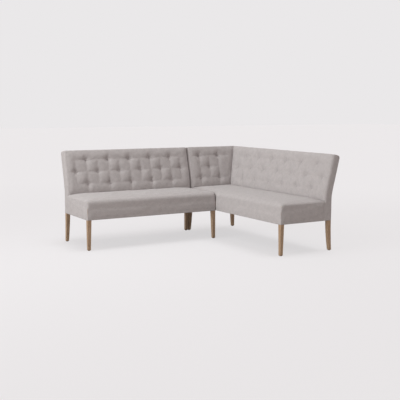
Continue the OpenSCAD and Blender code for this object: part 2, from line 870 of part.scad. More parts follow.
// Webbing over the seat frame: straps from front to rear, with straps along the bench
// on top of them
module webbing(l) {
    nx = round((l - 2 * frame_w) / strap_pitch);
    ny = round((bench_d - 2 * frame_w) / strap_pitch);
    px = (l - 2 * frame_w) / nx;
    py = (bench_d - 2 * frame_w) / ny;
    color(strap_colour) {
        for (i = [0 : nx - 1])
            translate([frame_w + (i + 1 / 2) * px - strap_w / 2, skin - bench_d, rail_top])
                cube([strap_w, bench_d - 2 * skin, strap_t]);
        for (i = [0 : ny - 1])
            translate([skin, -frame_w - (i + 1 / 2) * py - strap_w / 2, rail_top + strap_t])
                cube([l - 2 * skin, strap_w, strap_t]);
    }
}

// Middles of the linking plates, as shares of the bench's depth
link_shares = [0.28, 0.72];
link_in = joint_gap / 2 + skin + rail_t / 2;

module link_plate_forms(extra = 0) {
    for (share = link_shares)
        translate([bench_l + joint_gap / 2, -bench_d * share, underside_h - link_t / 2])
            cube([link_l + 2 * extra, link_w + 2 * extra, link_t + 2 * extra], center = true);
}

module link_bolt_forms(extra = 0) {
    head = extra == 0 ? bolt_head_h : 0;
    for (share = link_shares)
        for (side = [-1, 1])
            translate([bench_l + joint_gap / 2 + side * link_in, -bench_d * share,
                       underside_h - link_t]) {
                translate([0, 0, -extra])
                    cylinder(h = link_t + link_bolt_bite + 2 * extra,
                        d = link_bolt_d + 2 * extra);
                if (head > 0)
                    translate([0, 0, -head])
                        cylinder(h = head, d = bolt_head_d, $fn = hex_sides);
            }
}

// The straight bench's frame, as it lies in the corner bench's own
module bench_in_corner() {
    translate([0, -wall_x, 0]) rotate([0, 0, 90]) children();
}

module dust_cover_form(l) {
    notch = frame_w + fit;
    translate([0, 0, underside_h - dust_t])
        linear_extrude(dust_t)
            difference() {
                translate([dust_margin, dust_margin - bench_d])
                    square([l - 2 * dust_margin, bench_d - 2 * dust_margin]);
                for (x = [0, l - notch])
                    for (y = [-notch, -bench_d])
                        translate([x, y]) square(notch);
            }
}

// The straight bench
module bench_seat_cover() { at_bench() seat_cover(bench_l, 0, seat_end_r, true); }
module bench_back_cover() { at_bench() back_cover(bench_l, bench_buttons_at); }
module bench_outside_back() { at_bench() outside_back(bench_l); }
module bench_buttons() { at_bench() buttons(bench_buttons_at); }
module bench_button_ties() { at_bench() button_ties(bench_buttons_at); }
module bench_seat_foam() { at_bench() seat_foam(bench_l, skin, seat_end_r); }
module bench_back_foam() { at_bench() back_foam(bench_l, bench_buttons_at); }
module bench_back_board() { at_bench() back_board(bench_l, bench_buttons_at); }
module bench_webbing() { at_bench() webbing(bench_l); }

// A piece of the straight bench's timber with all its holes
module bench_timber() {
    at_bench()
        difference() {
            children();
            bench_holes();
            link_bolt_forms(bore_fit);
        }
}

module bench_front_rail() { beech() bench_timber() front_rail_form(bench_l); }
module bench_rear_rail() { beech() bench_timber() rear_rail_form(bench_l); }
module bench_end_rails() { beech() bench_timber() both_ends(bench_l) end_rail_form(); }
module bench_cross_rails() { beech() bench_timber() cross_rail_forms(bench_l); }
module bench_frame_blocks() { at_bench() corner_blocks(bench_l); }
module bench_lumbar_rail() {
    beech() bench_timber() back_rail_form(bench_l, deck_s, deck_s + lumbar_h);
}
module bench_top_rail() { beech() bench_timber() back_rail_form(bench_l, top_rail_s, frame_s); }
module bench_back_slats() { beech() at_bench() slat_forms(bench_buttons_at); }
module bench_front_leg_left() { oak() bench_timber() front_leg_form(); }
module bench_front_leg_right() { oak() bench_timber() at_right(bench_l) front_leg_form(); }
module bench_rear_leg_left() { oak() bench_timber() rear_leg_form(); }
module bench_rear_leg_right() { oak() bench_timber() at_right(bench_l) rear_leg_form(); }
module bench_dowels() {
    beech()
        at_bench() {
            seat_dowels(bench_l);
            back_dowels(bench_l, back_dowel_shares);
        }
}
module bench_leg_bolts() { color(steel_colour) at_bench() leg_bolts(bench_l); }
module bench_glides() { at_bench() glides(bench_feet); }
module bench_dust_cover() {
    color(dust_colour)
        at_bench()
            difference() {
                dust_cover_form(bench_l);
                link_plate_forms(cut);
            }
}

// The corner bench
corner_x0 = back_t + 2 * fit;
module corner_seat_cover() {
    at_corner() seat_cover(corner_l, back_t + fit, seat_rear_r, false);
}
module corner_long_back_cover() { at_corner() back_cover(corner_l, long_buttons_at, left = true); }
module corner_short_back_cover() { at_short() back_cover(bench_d, short_buttons_at, right = true); }
module corner_long_outside_back() { at_corner() outside_back(corner_l, left = true); }
module corner_short_outside_back() { at_short() outside_back(bench_d, right = true); }
module corner_long_buttons() { at_corner() buttons(long_buttons_at); }
module corner_short_buttons() { at_short() buttons(short_buttons_at); }
module corner_button_ties() {
    at_corner() button_ties(long_buttons_at);
    at_short() button_ties(short_buttons_at);
}
module corner_seat_foam() { at_corner() seat_foam(corner_l, corner_x0, seat_rear_r); }
module corner_long_back_foam() { at_corner() back_foam(corner_l, long_buttons_at, left = true); }
module corner_short_back_foam() { at_short() back_foam(bench_d, short_buttons_at, right = true); }
module corner_long_back_board() { at_corner() back_board(corner_l, long_buttons_at, left = true); }
module corner_short_back_board() { at_short() back_board(bench_d, short_buttons_at, right = true); }
module corner_webbing() { at_corner() webbing(corner_l); }

// A piece of the corner bench's timber with all its holes
module corner_timber() {
    at_corner()
        difference() {
            children();
            corner_holes();
            bench_in_corner() link_bolt_forms(bore_fit);
        }
}

module corner_front_rail() { beech() corner_timber() front_rail_form(corner_l); }
module corner_rear_rail() { beech() corner_timber() rear_rail_form(corner_l); }
module corner_end_rails() { beech() corner_timber() both_ends(corner_l) end_rail_form(); }
module corner_cross_rails() { beech() corner_timber() cross_rail_forms(corner_l); }
module corner_frame_blocks() { at_corner() corner_blocks(corner_l); }

// A rail of the long back and its fellow of the short one
module corner_back_rails(s0, s1) {
    beech()
        corner_timber() {
            back_rail_form(corner_l, s0, s1, left = true);
            short_in_corner() back_rail_form(bench_d, s0, s1, right = true);
        }
}
module corner_lumbar_rails() { corner_back_rails(deck_s, deck_s + lumbar_h); }
module corner_top_rails() { corner_back_rails(top_rail_s, frame_s); }
module corner_back_slats() { beech() at_corner() slat_forms(long_buttons_at); }
module corner_front_leg() { oak() corner_timber() at_right(corner_l) front_leg_form(); }
module corner_side_leg() { oak() corner_timber() short_in_corner() rear_leg_form(); }
module corner_end_leg() { oak() corner_timber() at_right(corner_l) rear_leg_form(); }
module corner_rear_leg() { oak() corner_timber() corner_leg_form(); }
module corner_dowels() {
    beech()
        at_corner() {
            seat_dowels(corner_l);
            back_dowels(corner_l, back_dowel_shares, left = true);
            short_in_corner() back_dowels(bench_d, short_dowel_shares, right = true);
        }
}
module corner_leg_bolts() { color(steel_colour) at_corner() leg_bolts(corner_l); }
module corner_glides() { at_corner() glides(corner_feet); }
module corner_dust_cover() {
    color(dust_colour)
        at_corner()
            difference() {
                dust_cover_form(corner_l);
                bench_in_corner() link_plate_forms(cut);
            }
}

// The plates that link the two benches, and their bolts
module link_plates() {
    color(steel_colour)
        at_bench()
            difference() {
                link_plate_forms();
                link_bolt_forms(bore_fit);
            }
}
module link_bolts() { color(steel_colour) at_bench() link_bolt_forms(); }

bench_seat_cover();
bench_back_cover();
bench_outside_back();
bench_buttons();
bench_button_ties();
bench_seat_foam();
bench_back_foam();
bench_back_board();
bench_webbing();
bench_front_rail();
bench_rear_rail();
bench_end_rails();
bench_cross_rails();
bench_frame_blocks();
bench_lumbar_rail();
bench_top_rail();
bench_back_slats();
bench_front_leg_left();
bench_front_leg_right();
bench_rear_leg_left();
bench_rear_leg_right();
bench_dowels();
bench_leg_bolts();
bench_glides();
bench_dust_cover();
corner_seat_cover();
corner_long_back_cover();
corner_short_back_cover();
corner_long_outside_back();
corner_short_outside_back();
corner_long_buttons();
corner_short_buttons();
corner_button_ties();
corner_seat_foam();
corner_long_back_foam();
corner_short_back_foam();
corner_long_back_board();
corner_short_back_board();
corner_webbing();
corner_front_rail();
corner_rear_rail();
corner_end_rails();
corner_cross_rails();
corner_frame_blocks();
corner_lumbar_rails();
corner_top_rails();
corner_back_slats();
corner_front_leg();
corner_side_leg();
corner_end_leg();
corner_rear_leg();
corner_dowels();
corner_leg_bolts();
corner_glides();
corner_dust_cover();
link_plates();
link_bolts();
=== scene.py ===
# Upholstered corner banquette: two linked benches with button-tufted backs on oak legs.
# Metres, Z up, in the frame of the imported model.
import math
import random

import bmesh
import bpy
import numpy as np
from mathutils import Matrix, Vector, noise


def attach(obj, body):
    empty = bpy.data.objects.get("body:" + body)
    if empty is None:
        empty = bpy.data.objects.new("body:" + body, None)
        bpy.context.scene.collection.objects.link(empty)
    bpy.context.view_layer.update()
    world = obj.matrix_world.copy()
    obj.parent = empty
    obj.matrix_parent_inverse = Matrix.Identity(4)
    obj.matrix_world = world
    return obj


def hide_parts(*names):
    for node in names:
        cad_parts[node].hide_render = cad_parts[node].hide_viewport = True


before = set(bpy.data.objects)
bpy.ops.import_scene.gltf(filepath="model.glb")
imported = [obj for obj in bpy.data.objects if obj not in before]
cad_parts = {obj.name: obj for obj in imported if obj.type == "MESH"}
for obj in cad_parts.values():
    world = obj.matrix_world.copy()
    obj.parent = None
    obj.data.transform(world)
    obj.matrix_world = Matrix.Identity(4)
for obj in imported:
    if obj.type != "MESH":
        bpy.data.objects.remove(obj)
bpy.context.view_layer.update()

X, Y, Z = range(3)

# Sizes of the benches, as in the CAD source
BENCH_L = 1.412
CORNER_L = 1.698
DEPTH = 0.594
JOINT_GAP = 0.006
SEAT_H = 0.474
SEAT_T = 0.184
UNDER = SEAT_H - SEAT_T
BACK_H = 0.912
FIT = 0.0003

# Sizes of the backs
BACK_T = 0.086
RAKE = math.radians(14)
BEND_R = 0.400
BEND_H = 0.480
BACK_FRONT_R = 0.016
BACK_REAR_R = 0.024
BACK_END_R = 0.030
BACK_END_D = 0.050
BACK_CUTS = (0.0065, 0.010, 0.016, 0.023, BACK_END_R)
BACK_EDGE_R = 0.005
TOP_PAD = 0.018
COVER_T = 0.0025
LINING_W = 0.0604
DECK_S = 0.1097
DECK_Z = UNDER + DECK_S
OUTSIDE_T = 0.0022
OUTSIDE_R = OUTSIDE_T * 0.7
SLACK_FADE = 0.040
SKIN = 0.0028

# Sizes of the tufting
BUTTON_PITCH = 0.239
ROW_PITCH = 0.120
ROW_DROP = 0.103
ROWS = 3
BUTTON_MARGIN = 0.080
BUTTON_D = 0.022
BUTTON_H = 0.005
TUFT_SINK = 0.022
TUFT_R = 0.016
TUFT_FLOOR = 0.009
TUFT_PUFF = 0.005
CREASE_SINK = 0.0075
CREASE_R = 0.015
CREASE_TOP = 0.030
CREASE_END = 0.012
CREASE_KEPT = 0.4
CREASE_ACROSS = 0.8
CREASE_HELD = 0.3
PUCKER = 0.0014
PUCKER_R = 0.022
PUCKER_FADE = 0.004
BUTTON_W = 0.0668
FOOT_FADE = 0.030
MITRE_SINK = 0.004
MITRE_R = 0.012

# Sizes of the seats
SEAT_CROWN = 0.012
CROWN_RUN = 0.190
CROWN_DEEP = 0.030
SEAT_FRONT_R = 0.036
SEAT_END_R = 0.020
SEAT_CORNER_R = 0.024
SEAT_LOW_R = 0.007
CORNER_RISE = 0.045
SEAT_EDGE = 0.002
SEAT_CUTS = (SEAT_EDGE, 0.005, 0.009, 0.014)
APRON_DRAW = 0.001
FOAM_TOP = 0.465
FOAM_FRONT_R = 0.028
FOAM_END_R = 0.018
FOAM_CUT = 0.022
HEM = 0.015
HEM_T = 0.0008
DUST_MARGIN = 0.015
DUST_T = 0.001
DUST_SAG = 0.004
SAG_RUN = 0.200
RAIL_IN = 0.025
STAPLE_PITCH = 0.060
STAPLE_IN = 0.006
STAPLE_L = 0.010
STAPLE_W = 0.001
STAPLE_H = 0.0006
STAPLE_R = 0.0002

# Width of a leg, and of what a seat's cover leaves open for it
LEG_W = 0.038
FRAME_W = SKIN + LEG_W

# Places along the rear face of a back, from its foot
BEND_S = BEND_H - UNDER
LEAN_S = BEND_S + BEND_R * RAKE
LEAN_RUN = BACK_FRONT_R + (BACK_H - BACK_FRONT_R - BEND_H
                           - (BEND_R + BACK_T - BACK_FRONT_R) * math.sin(RAKE)) / math.cos(RAKE)
BACK_S = LEAN_S + LEAN_RUN
LIP_S = BACK_S - BACK_REAR_R
PLAIN_S = max(BEND_S, SEAT_T + SEAT_CROWN)
ROW_S = [BACK_S - ROW_DROP - (ROWS - 1 - i) * ROW_PITCH for i in range(ROWS)]

# Cells of the covers, foams and cloths, and the least gap from a rounded edge to the next cut
CELL_X = BUTTON_PITCH / 24
CELL_S = ROW_PITCH / 12
CELL_W = 0.012
GAP_X = 0.003
GAP_S = 0.004
SEAT_CELL = 0.016
FOAM_CELL = 0.050
CLOTH_CELL = 0.020
OUTSIDE_CELL = 0.014

# Stuffing: its frames, how far it may push a point out or along, and the rims that it holds
STUFF_FRAMES = 20
STUFF_CAP = 0.005
STUFF_SLIDE = 0.002
HELD_RIM = 0.012
HELD_SKIRT = 0.030

# Unevenness of the covers: waves with a run, a height and a seed each
BACK_RIPPLES = ((0.070, 0.0012, 1), (0.026, 0.0005, 2))
SEAT_RIPPLES = ((0.160, 0.0022, 3), (0.050, 0.0007, 4))
OUTSIDE_RIPPLES = ((0.090, 0.0012, 6), (0.030, 0.0004, 7))
RIPPLE_FADE = 0.020

# Forms that cut: how far they run past a mitre, past a piece, and into each other
MITRE_OVER = 0.020
PAST = 0.010
OVERLAP = 0.001

# How close counts as the same place, what counts as nothing, and what is out of reach
NEAR = 0.0001
WELD = 0.00001
TINY = 1e-9
FAR = 9.0


def fade(v, start, run):
    """0 up to a start, 1 from a run past it, and even between."""
    return np.clip((v - start) / run, 0, 1)


def back_angle(s):
    """Lean of the back at s along its rear face."""
    return RAKE * fade(s, BEND_S, LEAN_S - BEND_S)


def back_point(s, w):
    """Y and Z of the back at s along its rear face and w in front of it."""
    a = back_angle(s)
    e = np.maximum(0, s - LEAN_S)
    y = BEND_R - (BEND_R + w) * np.cos(a) + e * np.sin(a)
    z = np.minimum(UNDER + s, BEND_H) + (BEND_R + w) * np.sin(a) + e * np.cos(a)
    return y, z


BACK_REACH = back_point(LIP_S, BACK_REAR_R)[0] + BACK_REAR_R
CORNER_X = BENCH_L + JOINT_GAP
WALL_X = CORNER_X + DEPTH
MIDDLE_X = (WALL_X + BACK_REACH) / 2
MIDDLE_Y = (BACK_REACH - CORNER_L) / 2
AT_BENCH = Matrix.Translation((-MIDDLE_X, -MIDDLE_Y, 0))
AT_CORNER = (Matrix.Translation((WALL_X - MIDDLE_X, -MIDDLE_Y, 0))
             @ Matrix.Rotation(math.radians(-90), 4, "Z"))
AT_SHORT = Matrix.Translation((CORNER_X - MIDDLE_X, -MIDDLE_Y, 0))


def button_places(x0, x1, long_mid):
    """Buttons (x, s) of a back whose face runs from x0 to x1, in staggered rows."""
    n = 1 + math.floor((x1 - x0 - 2 * BUTTON_MARGIN) / BUTTON_PITCH)
    first = (x0 + x1 - (n - 1) * BUTTON_PITCH) / 2
    places = []
    for r in range(ROWS):
        short = 0 if ((ROWS - r) % 2 == 0) == long_mid else 1
        for i in range(n - short):
            places.append((first + (i + short / 2) * BUTTON_PITCH, ROW_S[r]))
    return places


MITRE_MID = -back_point(ROW_S[1], BACK_T)[0]
BENCH_BUTTONS = button_places(0, BENCH_L, True)
LONG_BUTTONS = button_places(MITRE_MID, CORNER_L, True)
SHORT_BUTTONS = button_places(0, DEPTH - BACK_T, False)


# Colours and materials


def linear(colour):
    """An sRGB hex colour as linear RGBA."""
    values = [int(colour[i:i + 2], 16) / 255 for i in (1, 3, 5)]
    return [v / 12.92 if v <= 0.04045 else ((v + 0.055) / 1.055) ** 2.4 for v in values] + [1]


def add(tree, kind, inputs=None, **settings):
    """Adds a node with its settings, and its inputs as values, colours or links."""
    made = tree.nodes.new("ShaderNode" + kind)
    for key, value in settings.items():
        setattr(made, key, value)
    for key, value in (inputs or {}).items():
        socket = made.inputs[key]
        if isinstance(value, bpy.types.NodeSocket):
            tree.links.new(value, socket)
        elif isinstance(value, str):
            socket.default_value = linear(value)
        else:
            socket.default_value = value
    return made


def ramp(tree, factor, *stops):
    """A colour ramp over a factor, through (place, colour) stops."""
    made = add(tree, "ValToRGB", {"Fac": factor})
    elements = made.color_ramp.elements
    while len(elements) < len(stops):
        elements.new(0.5)
    for element, (place, colour) in zip(elements, stops):
        element.position = place
        element.color = linear(colour)
    return made.outputs["Color"]


def material(name, **sockets):
    """A material with a Principled shader; returns it, its node tree and its shader."""
    made = bpy.data.materials.new(name)
    made.use_nodes = True
    tree = made.node_tree
    shader = tree.nodes["Principled BSDF"]
    for key, value in sockets.items():
        shader.inputs[key.replace("_", " ")].default_value = value
    return made, tree, shader


def finish_material(tree, shader, colour, height=None, strength=0.3, distance=0.001):
    """Links a colour and a bump height to a shader."""
    tree.links.new(colour, shader.inputs["Base Color"])
    if height is not None:
        bump = add(tree, "Bump", {"Height": height, "Strength": strength, "Distance": distance})
        tree.links.new(bump.outputs["Normal"], shader.inputs["Normal"])


# The cover is a plain weave of melange yarns about 1.2 mm apart. The eye gets a soft,
# matt cloth with flecks of light and dark yarn. Threads are drawn 3 mm apart, and flecks
# up to 25 mm long, because finer ones don't show from a step away.
THREAD = 0.003
FLECK = 0.0045
FLECK_RUN = 0.024
FLECK_SHARE = 0.72
MOTTLE = 0.045
# Distance between the bands of a wave texture whose scale is 1
BAND = math.pi / 10


def woven_cover(name, light, middle, dark):
    """Woven melange cloth in three shades of yarn."""
    made, tree, shader = material(name, Roughness=0.92, Sheen_Weight=0.22, Sheen_Roughness=0.45,
                                  Specular_IOR_Level=0.18)
    cloth = add(tree, "UVMap", uv_map="cloth").outputs["UV"]
    threads = []
    for way in ("X", "Y"):
        thread = add(tree, "TexWave", {"Vector": cloth, "Scale": BAND / THREAD, "Distortion": 0.6,
                                       "Detail": 1.0, "Detail Scale": 2.0}, bands_direction=way)
        threads.append(thread.outputs["Fac"])
    over = add(tree, "TexChecker", {"Vector": cloth, "Scale": 1 / THREAD})
    height = add(tree, "Mix", {"Factor": over.outputs["Fac"], "A": threads[0], "B": threads[1]},
                 data_type="FLOAT")
    flecks = []
    for run in ((1 / FLECK, 1 / FLECK_RUN, 1), (1 / FLECK_RUN, 1 / FLECK, 1)):
        along = add(tree, "Mapping", {"Vector": cloth, "Scale": run})
        streak = add(tree, "TexNoise", {"Vector": along.outputs["Vector"], "Scale": 1.0,
                                        "Detail": 2.0, "Roughness": 0.6})
        flecks.append(streak.outputs["Fac"])
    yarn = add(tree, "Mix", {"Factor": over.outputs["Fac"], "A": flecks[0], "B": flecks[1]},
               data_type="FLOAT")
    broad = add(tree, "TexNoise", {"Vector": cloth, "Scale": 1 / MOTTLE, "Detail": 3.0,
                                   "Roughness": 0.55})
    mottle = ramp(tree, broad.outputs["Fac"], (0.36, dark), (0.5, middle), (0.64, light))
    fleck = ramp(tree, yarn.outputs["Result"], (0.3, dark), (0.48, middle), (0.72, light))
    colour = add(tree, "Mix", {"Factor": FLECK_SHARE, "A": mottle, "B": fleck}, data_type="RGBA")
    finish_material(tree, shader, colour.outputs["Result"], height.outputs["Result"], 0.35, 0.0006)
    return made


def grained_wood(name, light, middle, dark, along, ring, pore, roughness):
    """Wood with its grain along an axis, its growth rings and its pores."""
    made, tree, shader = material(name, Roughness=roughness, Specular_IOR_Level=0.4)
    place = add(tree, "TexCoord").outputs["Object"]
    stretch = [1 / ring] * 3
    stretch[along] = 1 / (ring * 18)
    grown = add(tree, "Mapping", {"Vector": place, "Scale": stretch})
    figure = add(tree, "TexNoise", {"Vector": grown.outputs["Vector"], "Scale": 1.0,
                                    "Detail": 4.0, "Roughness": 0.6, "Distortion": 0.8})
    fine = [1 / pore] * 3
    fine[along] = 1 / (pore * 26)
    drawn = add(tree, "Mapping", {"Vector": place, "Scale": fine})
    pores = add(tree, "TexNoise", {"Vector": drawn.outputs["Vector"], "Scale": 1.0,
                                   "Detail": 2.0, "Roughness": 0.5})
    grain = ramp(tree, figure.outputs["Fac"], (0.32, dark), (0.5, middle), (0.68, light))
    line = ramp(tree, pores.outputs["Fac"], (0.34, dark), (0.5, "#ffffff"))
    colour = add(tree, "Mix", {"Factor": 0.45, "A": grain, "B": line}, data_type="RGBA",
                 blend_type="MULTIPLY")
    finish_material(tree, shader, colour.outputs["Result"], pores.outputs["Fac"], 0.25, 0.0004)
    return made


COVER = woven_cover("melange_cover_cloth", "#c1bab9", "#b6b0af", "#a9a4a3")
# The buttons are covered in the cover's own cloth, painted a few steps darker: painted shade for
# the shadow that falls in the tufts round each button
SHADED_BUTTON_CLOTH = woven_cover("melange_button_cloth_painted_shade", "#bbb4b3", "#b1abab", "#a49f9e")
# Oak, oiled: warm brown with darker pores that run the length of the leg
OAK = grained_wood("oiled_oak", "#c0a68c", "#ae9276", "#8f735c", Z, 0.006, 0.0012, 0.6)
# Beech, sawn and left bare: pale pinkish brown with a short, even fleck, one for each way
# that the timber runs
BEECH = [grained_wood("sawn_beech_" + "xyz"[way], "#dcbd96", "#d0ab80", "#b98f64", way, 0.004,
                      0.0009, 0.62) for way in (X, Y, Z)]


def plied_board(name, light, middle, dark):
    """Birch plywood with a rotary-cut face: broad, faint figure and fine pores."""
    made, tree, shader = material(name, Roughness=0.6, Specular_IOR_Level=0.35)
    place = add(tree, "TexCoord").outputs["Object"]
    spread = add(tree, "Mapping", {"Vector": place, "Scale": (9, 9, 55)})
    figure = add(tree, "TexNoise", {"Vector": spread.outputs["Vector"], "Scale": 1.0,
                                    "Detail": 5.0, "Roughness": 0.65, "Distortion": 1.2})
    fine = add(tree, "TexNoise", {"Vector": place, "Scale": 700.0, "Detail": 1.0})
    colour = ramp(tree, figure.outputs["Fac"], (0.35, dark), (0.5, middle), (0.66, light))
    finish_material(tree, shader, colour, fine.outputs["Fac"], 0.2, 0.0003)
    return made


# Birch plywood for the boards of the backs: pale, with a wild, faint figure
PLYWOOD = plied_board("birch_plywood", "#dfc8a0", "#d3b78b", "#bd9c6c")


def open_cells(name, light, dark, cell):
    """Polyurethane foam, cut with a wire: an even, matt face of open cells."""
    made, tree, shader = material(name, Roughness=0.95, Specular_IOR_Level=0.1,
                                  Subsurface_Weight=0.08)
    shader.inputs["Subsurface Radius"].default_value = (0.004, 0.003, 0.002)
    place = add(tree, "TexCoord").outputs["Object"]
    cells = add(tree, "TexVoronoi", {"Vector": place, "Scale": 1 / cell})
    colour = ramp(tree, cells.outputs["Distance"], (0.1, dark), (0.45, light))
    finish_material(tree, shader, colour, cells.outputs["Distance"], 0.5, 0.0008)
    return made


# Polyurethane foam: cream and matt. Its cells are drawn 3 mm wide, because real ones don't show
FOAM = open_cells("cut_foam", "#ece4cd", "#d8cdb0", 0.003)


def ribbed_cloth(name, light, dark, rib, roughness, strength):
    """Cloth or yarn with fine ribs, on Object coordinates."""
    made, tree, shader = material(name, Roughness=roughness, Sheen_Weight=0.1,
                                  Specular_IOR_Level=0.2)
    place = add(tree, "TexCoord").outputs["Object"]
    ribs = add(tree, "TexWave", {"Vector": place, "Scale": BAND / rib, "Distortion": 1.5,
                                 "Detail": 2.0, "Detail Scale": 1.5}, bands_direction="DIAGONAL")
    worn = add(tree, "TexNoise", {"Vector": place, "Scale": 60.0, "Detail": 3.0})
    shade = add(tree, "Math", {0: ribs.outputs["Fac"], 1: worn.outputs["Fac"]},
                operation="MULTIPLY")
    colour = ramp(tree, shade.outputs["Value"], (0.1, dark), (0.6, light))
    finish_material(tree, shader, colour, ribs.outputs["Fac"], strength, 0.0005)
    return made


# Elastic webbing: a dense, dull rib of polyester yarn over rubber
WEBBING = ribbed_cloth("elastic_webbing", "#5a544b", "#3d3932", 0.0030, 0.8, 0.5)
# Nylon button twine: pale, waxed and twisted, with a faint gleam
TWINE = ribbed_cloth("waxed_twine", "#e0d7bd", "#bfb494", 0.0012, 0.55, 0.6)


def bonded_cloth(name, light, dark, dimple):
    """Spunbonded polypropylene: a thin dark felt with a grid of bonded points."""
    made, tree, shader = material(name, Roughness=0.85, Sheen_Weight=0.15, Sheen_Roughness=0.6,
                                  Specular_IOR_Level=0.25)
    place = add(tree, "TexCoord").outputs["Object"]
    bonds = add(tree, "TexVoronoi", {"Vector": place, "Scale": 1 / dimple, "Randomness": 0.15})
    fibres = add(tree, "TexNoise", {"Vector": place, "Scale": 420.0, "Detail": 3.0,
                                    "Distortion": 2.0})
    colour = ramp(tree, fibres.outputs["Fac"], (0.35, dark), (0.65, light))
    finish_material(tree, shader, colour, bonds.outputs["Distance"], 0.5, 0.0005)
    return made


# Spunbonded polypropylene under the seats: charcoal and dull. Its bonds are drawn 3 mm apart
DUST_CLOTH = bonded_cloth("spunbond_cloth", "#35353a", "#222226", 0.003)


def plated_metal(name, light, dark, grain):
    """Zinc-plated steel: blue-white and softly bright, with a faint grain in its gloss."""
    made, tree, shader = material(name, Metallic=1.0, Roughness=0.34)
    place = add(tree, "TexCoord").outputs["Object"]
    spangle = add(tree, "TexNoise", {"Vector": place, "Scale": 1 / grain, "Detail": 3.0})
    colour = ramp(tree, spangle.outputs["Fac"], (0.35, dark), (0.65, light))
    rough = add(tree, "MapRange", {"Value": spangle.outputs["Fac"], "To Min": 0.26,
                                   "To Max": 0.46})
    tree.links.new(rough.outputs["Result"], shader.inputs["Roughness"])
    finish_material(tree, shader, colour, spangle.outputs["Fac"], 0.1, 0.0002)
    return made


# Bright zinc plate on the bolts, link plates and staples
STEEL = plated_metal("zinc_plated_steel", "#cfd3d6", "#b3b8bc", 0.004)


def moulded_plastic(name, light, dark, pit):
    """Moulded nylon with a fine, even texture from its tool."""
    made, tree, shader = material(name, Roughness=0.5, IOR=1.53)
    place = add(tree, "TexCoord").outputs["Object"]
    pits = add(tree, "TexNoise", {"Vector": place, "Scale": 1 / pit, "Detail": 2.0})
    colour = ramp(tree, pits.outputs["Fac"], (0.3, dark), (0.7, light))
    finish_material(tree, shader, colour, pits.outputs["Fac"], 0.25, 0.0002)
    return made


# Moulded nylon glides: dark grey-brown, half matt
NYLON = moulded_plastic("moulded_nylon", "#4a4642", "#3a3733", 0.0012)


# Modelling


def object_of(name, data):
    """Puts a mesh, a lamp or a camera in the scene."""
    made = bpy.data.objects.new(name, data)
    bpy.context.scene.collection.objects.link(made)
    return made


def solid_of(name, bm):
    """Makes an object of a bmesh, which is then done with."""
    mesh = bpy.data.meshes.new(name)
    bm.to_mesh(mesh)
    bm.free()
    return object_of(name, mesh)


def everything(bm):
    """All that a bmesh holds."""
    return bm.verts[:] + bm.edges[:] + bm.faces[:]


def block(low, high):
    """A bmesh of a box between two corners."""
    low = Vector(low)
    high = Vector(high)
    bm = bmesh.new()
    bmesh.ops.create_cube(bm, size=1)
    bmesh.ops.scale(bm, vec=high - low, verts=bm.verts[:])
    bmesh.ops.translate(bm, vec=(low + high) / 2, verts=bm.verts[:])
    return bm


def at(a, b, axis, place):
    """Whether an edge, by its two ends, lies at a place along an axis."""
    return max(abs(a[axis] - place), abs(b[axis] - place)) < NEAR


def round_edges(bm, chosen, radius, segments):
    """Rounds the edges whose two ends pass a test."""
    edges = [e for e in bm.edges if chosen(e.verts[0].co, e.verts[1].co)]
    bmesh.ops.bevel(bm, geom=edges, offset=radius, segments=segments, profile=0.5,
                    affect="EDGES", material=-1)


def rule(bm, axis, places):
    """Cuts a mesh along planes square to an axis."""
    normal = Vector([1 if i == axis else 0 for i in range(3)])
    for place in places:
        bmesh.ops.bisect_plane(bm, geom=everything(bm), dist=WELD, plane_co=normal * place,
                               plane_no=normal)


def even(a, b, step):
    """Places between a and b, a step apart or less."""
    n = max(1, math.ceil((b - a) / step - 0.01))
    return [a + (b - a) * i / n for i in range(1, n)]


def in_line(start, step, low, high):
    """Places between low and high that lie whole steps from a start."""
    first = math.ceil((low - start) / step)
    last = math.floor((high - start) / step)
    return [start + i * step for i in range(first, last + 1)]


def box_cloth(bm):
    """Lays the cloth's own map on each face from its nearest side, in metres."""
    layer = bm.loops.layers.uv.new("cloth")
    bm.normal_update()
    for face in bm.faces:
        n = [abs(v) for v in face.normal]
        u, v = {X: (Y, Z), Y: (X, Z), Z: (X, Y)}[n.index(max(n))]
        for loop in face.loops:
            loop[layer].uv = (loop.vert.co[u], loop.vert.co[v])


def keep_sharp(bm):
    """Keeps the square edges of a piece from rounding when it is subdivided."""
    crease = bm.edges.layers.float.new("crease_edge")
    for edge in bm.edges:
        if edge.calc_face_angle(0) > math.radians(50):
            edge[crease] = 1


def repeat(bm, places):
    """Puts a copy of what a mesh holds at each place, and removes the first one."""
    first = everything(bm)
    for matrix in places:
        copied = bmesh.ops.duplicate(bm, geom=first)["geom"]
        verts = [v for v in copied if isinstance(v, bmesh.types.BMVert)]
        bmesh.ops.transform(bm, matrix=matrix, verts=verts)
    bmesh.ops.delete(bm, geom=[v for v in first if isinstance(v, bmesh.types.BMVert)],
                     context="VERTS")


def piece(name, bm, finish, nodes=(), smooth=True):
    """Makes an object of a bmesh, that rides on the part and stands for CAD nodes."""
    made = solid_of("made_" + name if nodes else name, bm)
    made.data.materials.append(finish)
    made.data.polygons.foreach_set("use_smooth", [smooth] * len(made.data.polygons))
    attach(made, "root")
    if nodes:
        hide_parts(*nodes)
    return made


def vectors(items, kind):
    """The vectors that a mesh keeps for its points, as an array."""
    values = np.empty(len(items) * 3, np.float32)
    items.foreach_get(kind, values)
    return values.reshape(-1, 3).astype(float)


def points_of(made):
    """The points of a mesh object."""
    return vectors(made.data.vertices, "co")


def normals_of(made):
    """The normals at the points of a mesh object."""
    return vectors(made.data.vertex_normals, "vector")


def set_points(made, co):
    """Moves the points of a mesh object."""
    made.data.vertices.foreach_set("co", co.astype(np.float32).ravel())
    made.data.update()


def keep_flat(made):
    """Notes where each point of a piece lies before it is bent."""
    kept = made.data.attributes.new("flat", "FLOAT_VECTOR", "POINT")
    kept.data.foreach_set("vector", points_of(made).astype(np.float32).ravel())


def flat_of(made):
    """Where each point of a piece lay before it was bent."""
    return vectors(made.data.attributes["flat"].data, "vector")


